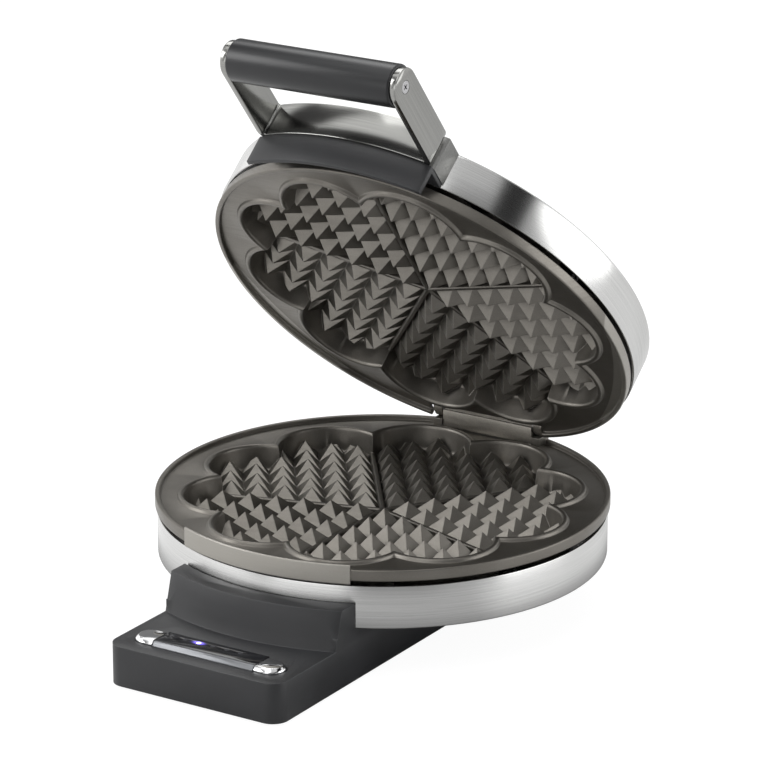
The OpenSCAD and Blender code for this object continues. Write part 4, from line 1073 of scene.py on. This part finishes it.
def buildWorld():
    world = bpy.data.worlds.new("studio")
    world.use_nodes = True
    tree = world.node_tree
    tree.nodes.clear()
    direction = addNode(tree, "ShaderNodeTexCoord").outputs["Generated"]
    level = cardLevels(tree, direction, room["level"], room["cards"])
    flag, pole = room["flag"], room["pole"]
    across = vector(tree, "DOT_PRODUCT", direction, towards(pole["azimuth"], pole["elevation"]))
    above = spread(tree, across, 0, 1, pole["low"], pole["low"] + pole["soft"])
    below = spread(tree, across, 1, 0, pole["high"] - pole["soft"], pole["high"])
    strip = number(tree, "MULTIPLY", above, below)
    mask = number(tree, "MULTIPLY", strip, cardMask(tree, direction, flag))
    level = blend(tree, mask, level, flag["level"])
    light = addNode(tree, "ShaderNodeBackground", {"Color": plainWhite, "Strength": level})
    white = addNode(tree, "ShaderNodeBackground", {"Color": plainWhite, "Strength": 1.0})
    ray = addNode(tree, "ShaderNodeLightPath")
    final = addNode(tree, "ShaderNodeMixShader", {0: ray.outputs["Is Camera Ray"], 1: light.outputs[0],
                                                  2: white.outputs[0]})
    addNode(tree, "ShaderNodeOutputWorld", {"Surface": final.outputs[0]})
    bpy.context.scene.world = world


# The floor is matt and takes the shadow. Glossy surfaces see a painted reflection of it, lighter or darker by
# direction, with a painted shadow that leaves it brighter away from the drum, and the camera sees it mostly white.
ground = {
    "size": 8,
    "shade": 0.80,
    "level": 0.80,
    # painted floor brightness seen in reflections, set by direction
    "cards": [
        {"azimuth": -75, "elevation": 0, "inner": 45, "outer": 75, "level": 1.15},
        {"azimuth": 42, "elevation": 0, "inner": 22, "outer": 60, "level": 0.52},
        {"azimuth": 115, "elevation": 0, "inner": 22, "outer": 45, "level": 1.00},
    ],
    # painted shadow on the floor under the drum for glossy rays, in metres from the drum's middle
    "paintedShadowUnderDrum": (0.105, 0.150),
    "mirrorLevel": 0.98,
    "mirrorShare": 0.75,
    "seenLevel": 1.18,
    "seenShare": 0.80,
}


def buildFloor():
    bpy.ops.mesh.primitive_plane_add(size=ground["size"], location=(0, 0, 0))
    floor = bpy.context.object
    floor.name = "floor"
    material = bpy.data.materials.new("paleFloor")
    material.use_nodes = True
    tree = material.node_tree
    tree.nodes.clear()
    spot = addNode(tree, "ShaderNodeTexCoord").outputs["Object"]
    direction = addNode(tree, "ShaderNodeVectorMath", {0: spot}, operation="NORMALIZE").outputs["Vector"]
    # painted reflection: the floor's shine for glossy rays is set by direction
    level = cardLevels(tree, direction, ground["level"], ground["cards"])
    away = vector(tree, "DISTANCE", spot, drumMiddle)
    # painted shadow under the drum: no shine near it, full shine farther out
    clear = spread(tree, away, 0, ground["mirrorLevel"], *ground["paintedShadowUnderDrum"])
    shade = ground["shade"]
    matt = addNode(tree, "ShaderNodeBsdfDiffuse", {"Color": (shade, shade, shade, 1)})
    shine = number(tree, "MULTIPLY", level, clear)
    shining = addNode(tree, "ShaderNodeEmission", {"Color": plainWhite, "Strength": shine})
    white = addNode(tree, "ShaderNodeEmission", {"Color": plainWhite, "Strength": ground["seenLevel"]})
    ray = addNode(tree, "ShaderNodeLightPath")
    mirrored = number(tree, "MULTIPLY", ray.outputs["Is Glossy Ray"], ground["mirrorShare"])
    seen = number(tree, "MULTIPLY", ray.outputs["Is Camera Ray"], ground["seenShare"])
    lit = addNode(tree, "ShaderNodeMixShader", {0: mirrored, 1: matt.outputs[0], 2: shining.outputs[0]})
    mixed = addNode(tree, "ShaderNodeMixShader", {0: seen, 1: lit.outputs[0], 2: white.outputs[0]})
    addNode(tree, "ShaderNodeOutputMaterial", {"Surface": mixed.outputs[0]})
    floor.data.materials.append(material)


softBoxes = {
    "key": {"at": (-1.45, -1.15, 1.15), "size": 0.9, "power": 13},
    "overhead": {"at": (-0.2, 0.5, 1.6), "size": 0.8, "power": 4},
}
boxAim = drumMiddle + Vector((0, 0, 0.1))


def buildLights():
    for name, box in softBoxes.items():
        data = bpy.data.lights.new(name, "AREA")
        data.shape = "SQUARE"
        data.size = box["size"]
        data.energy = box["power"]
        lamp = bpy.data.objects.new(name, data)
        bpy.context.scene.collection.objects.link(lamp)
        lamp.location = box["at"]
        lamp.rotation_euler = (boxAim - Vector(box["at"])).to_track_quat("-Z", "Y").to_euler()
        lamp.visible_camera = False


buildWorld()
buildFloor()
buildLights()
bpy.context.scene.view_settings.view_transform = "Standard"
print("camera, room and lights set")
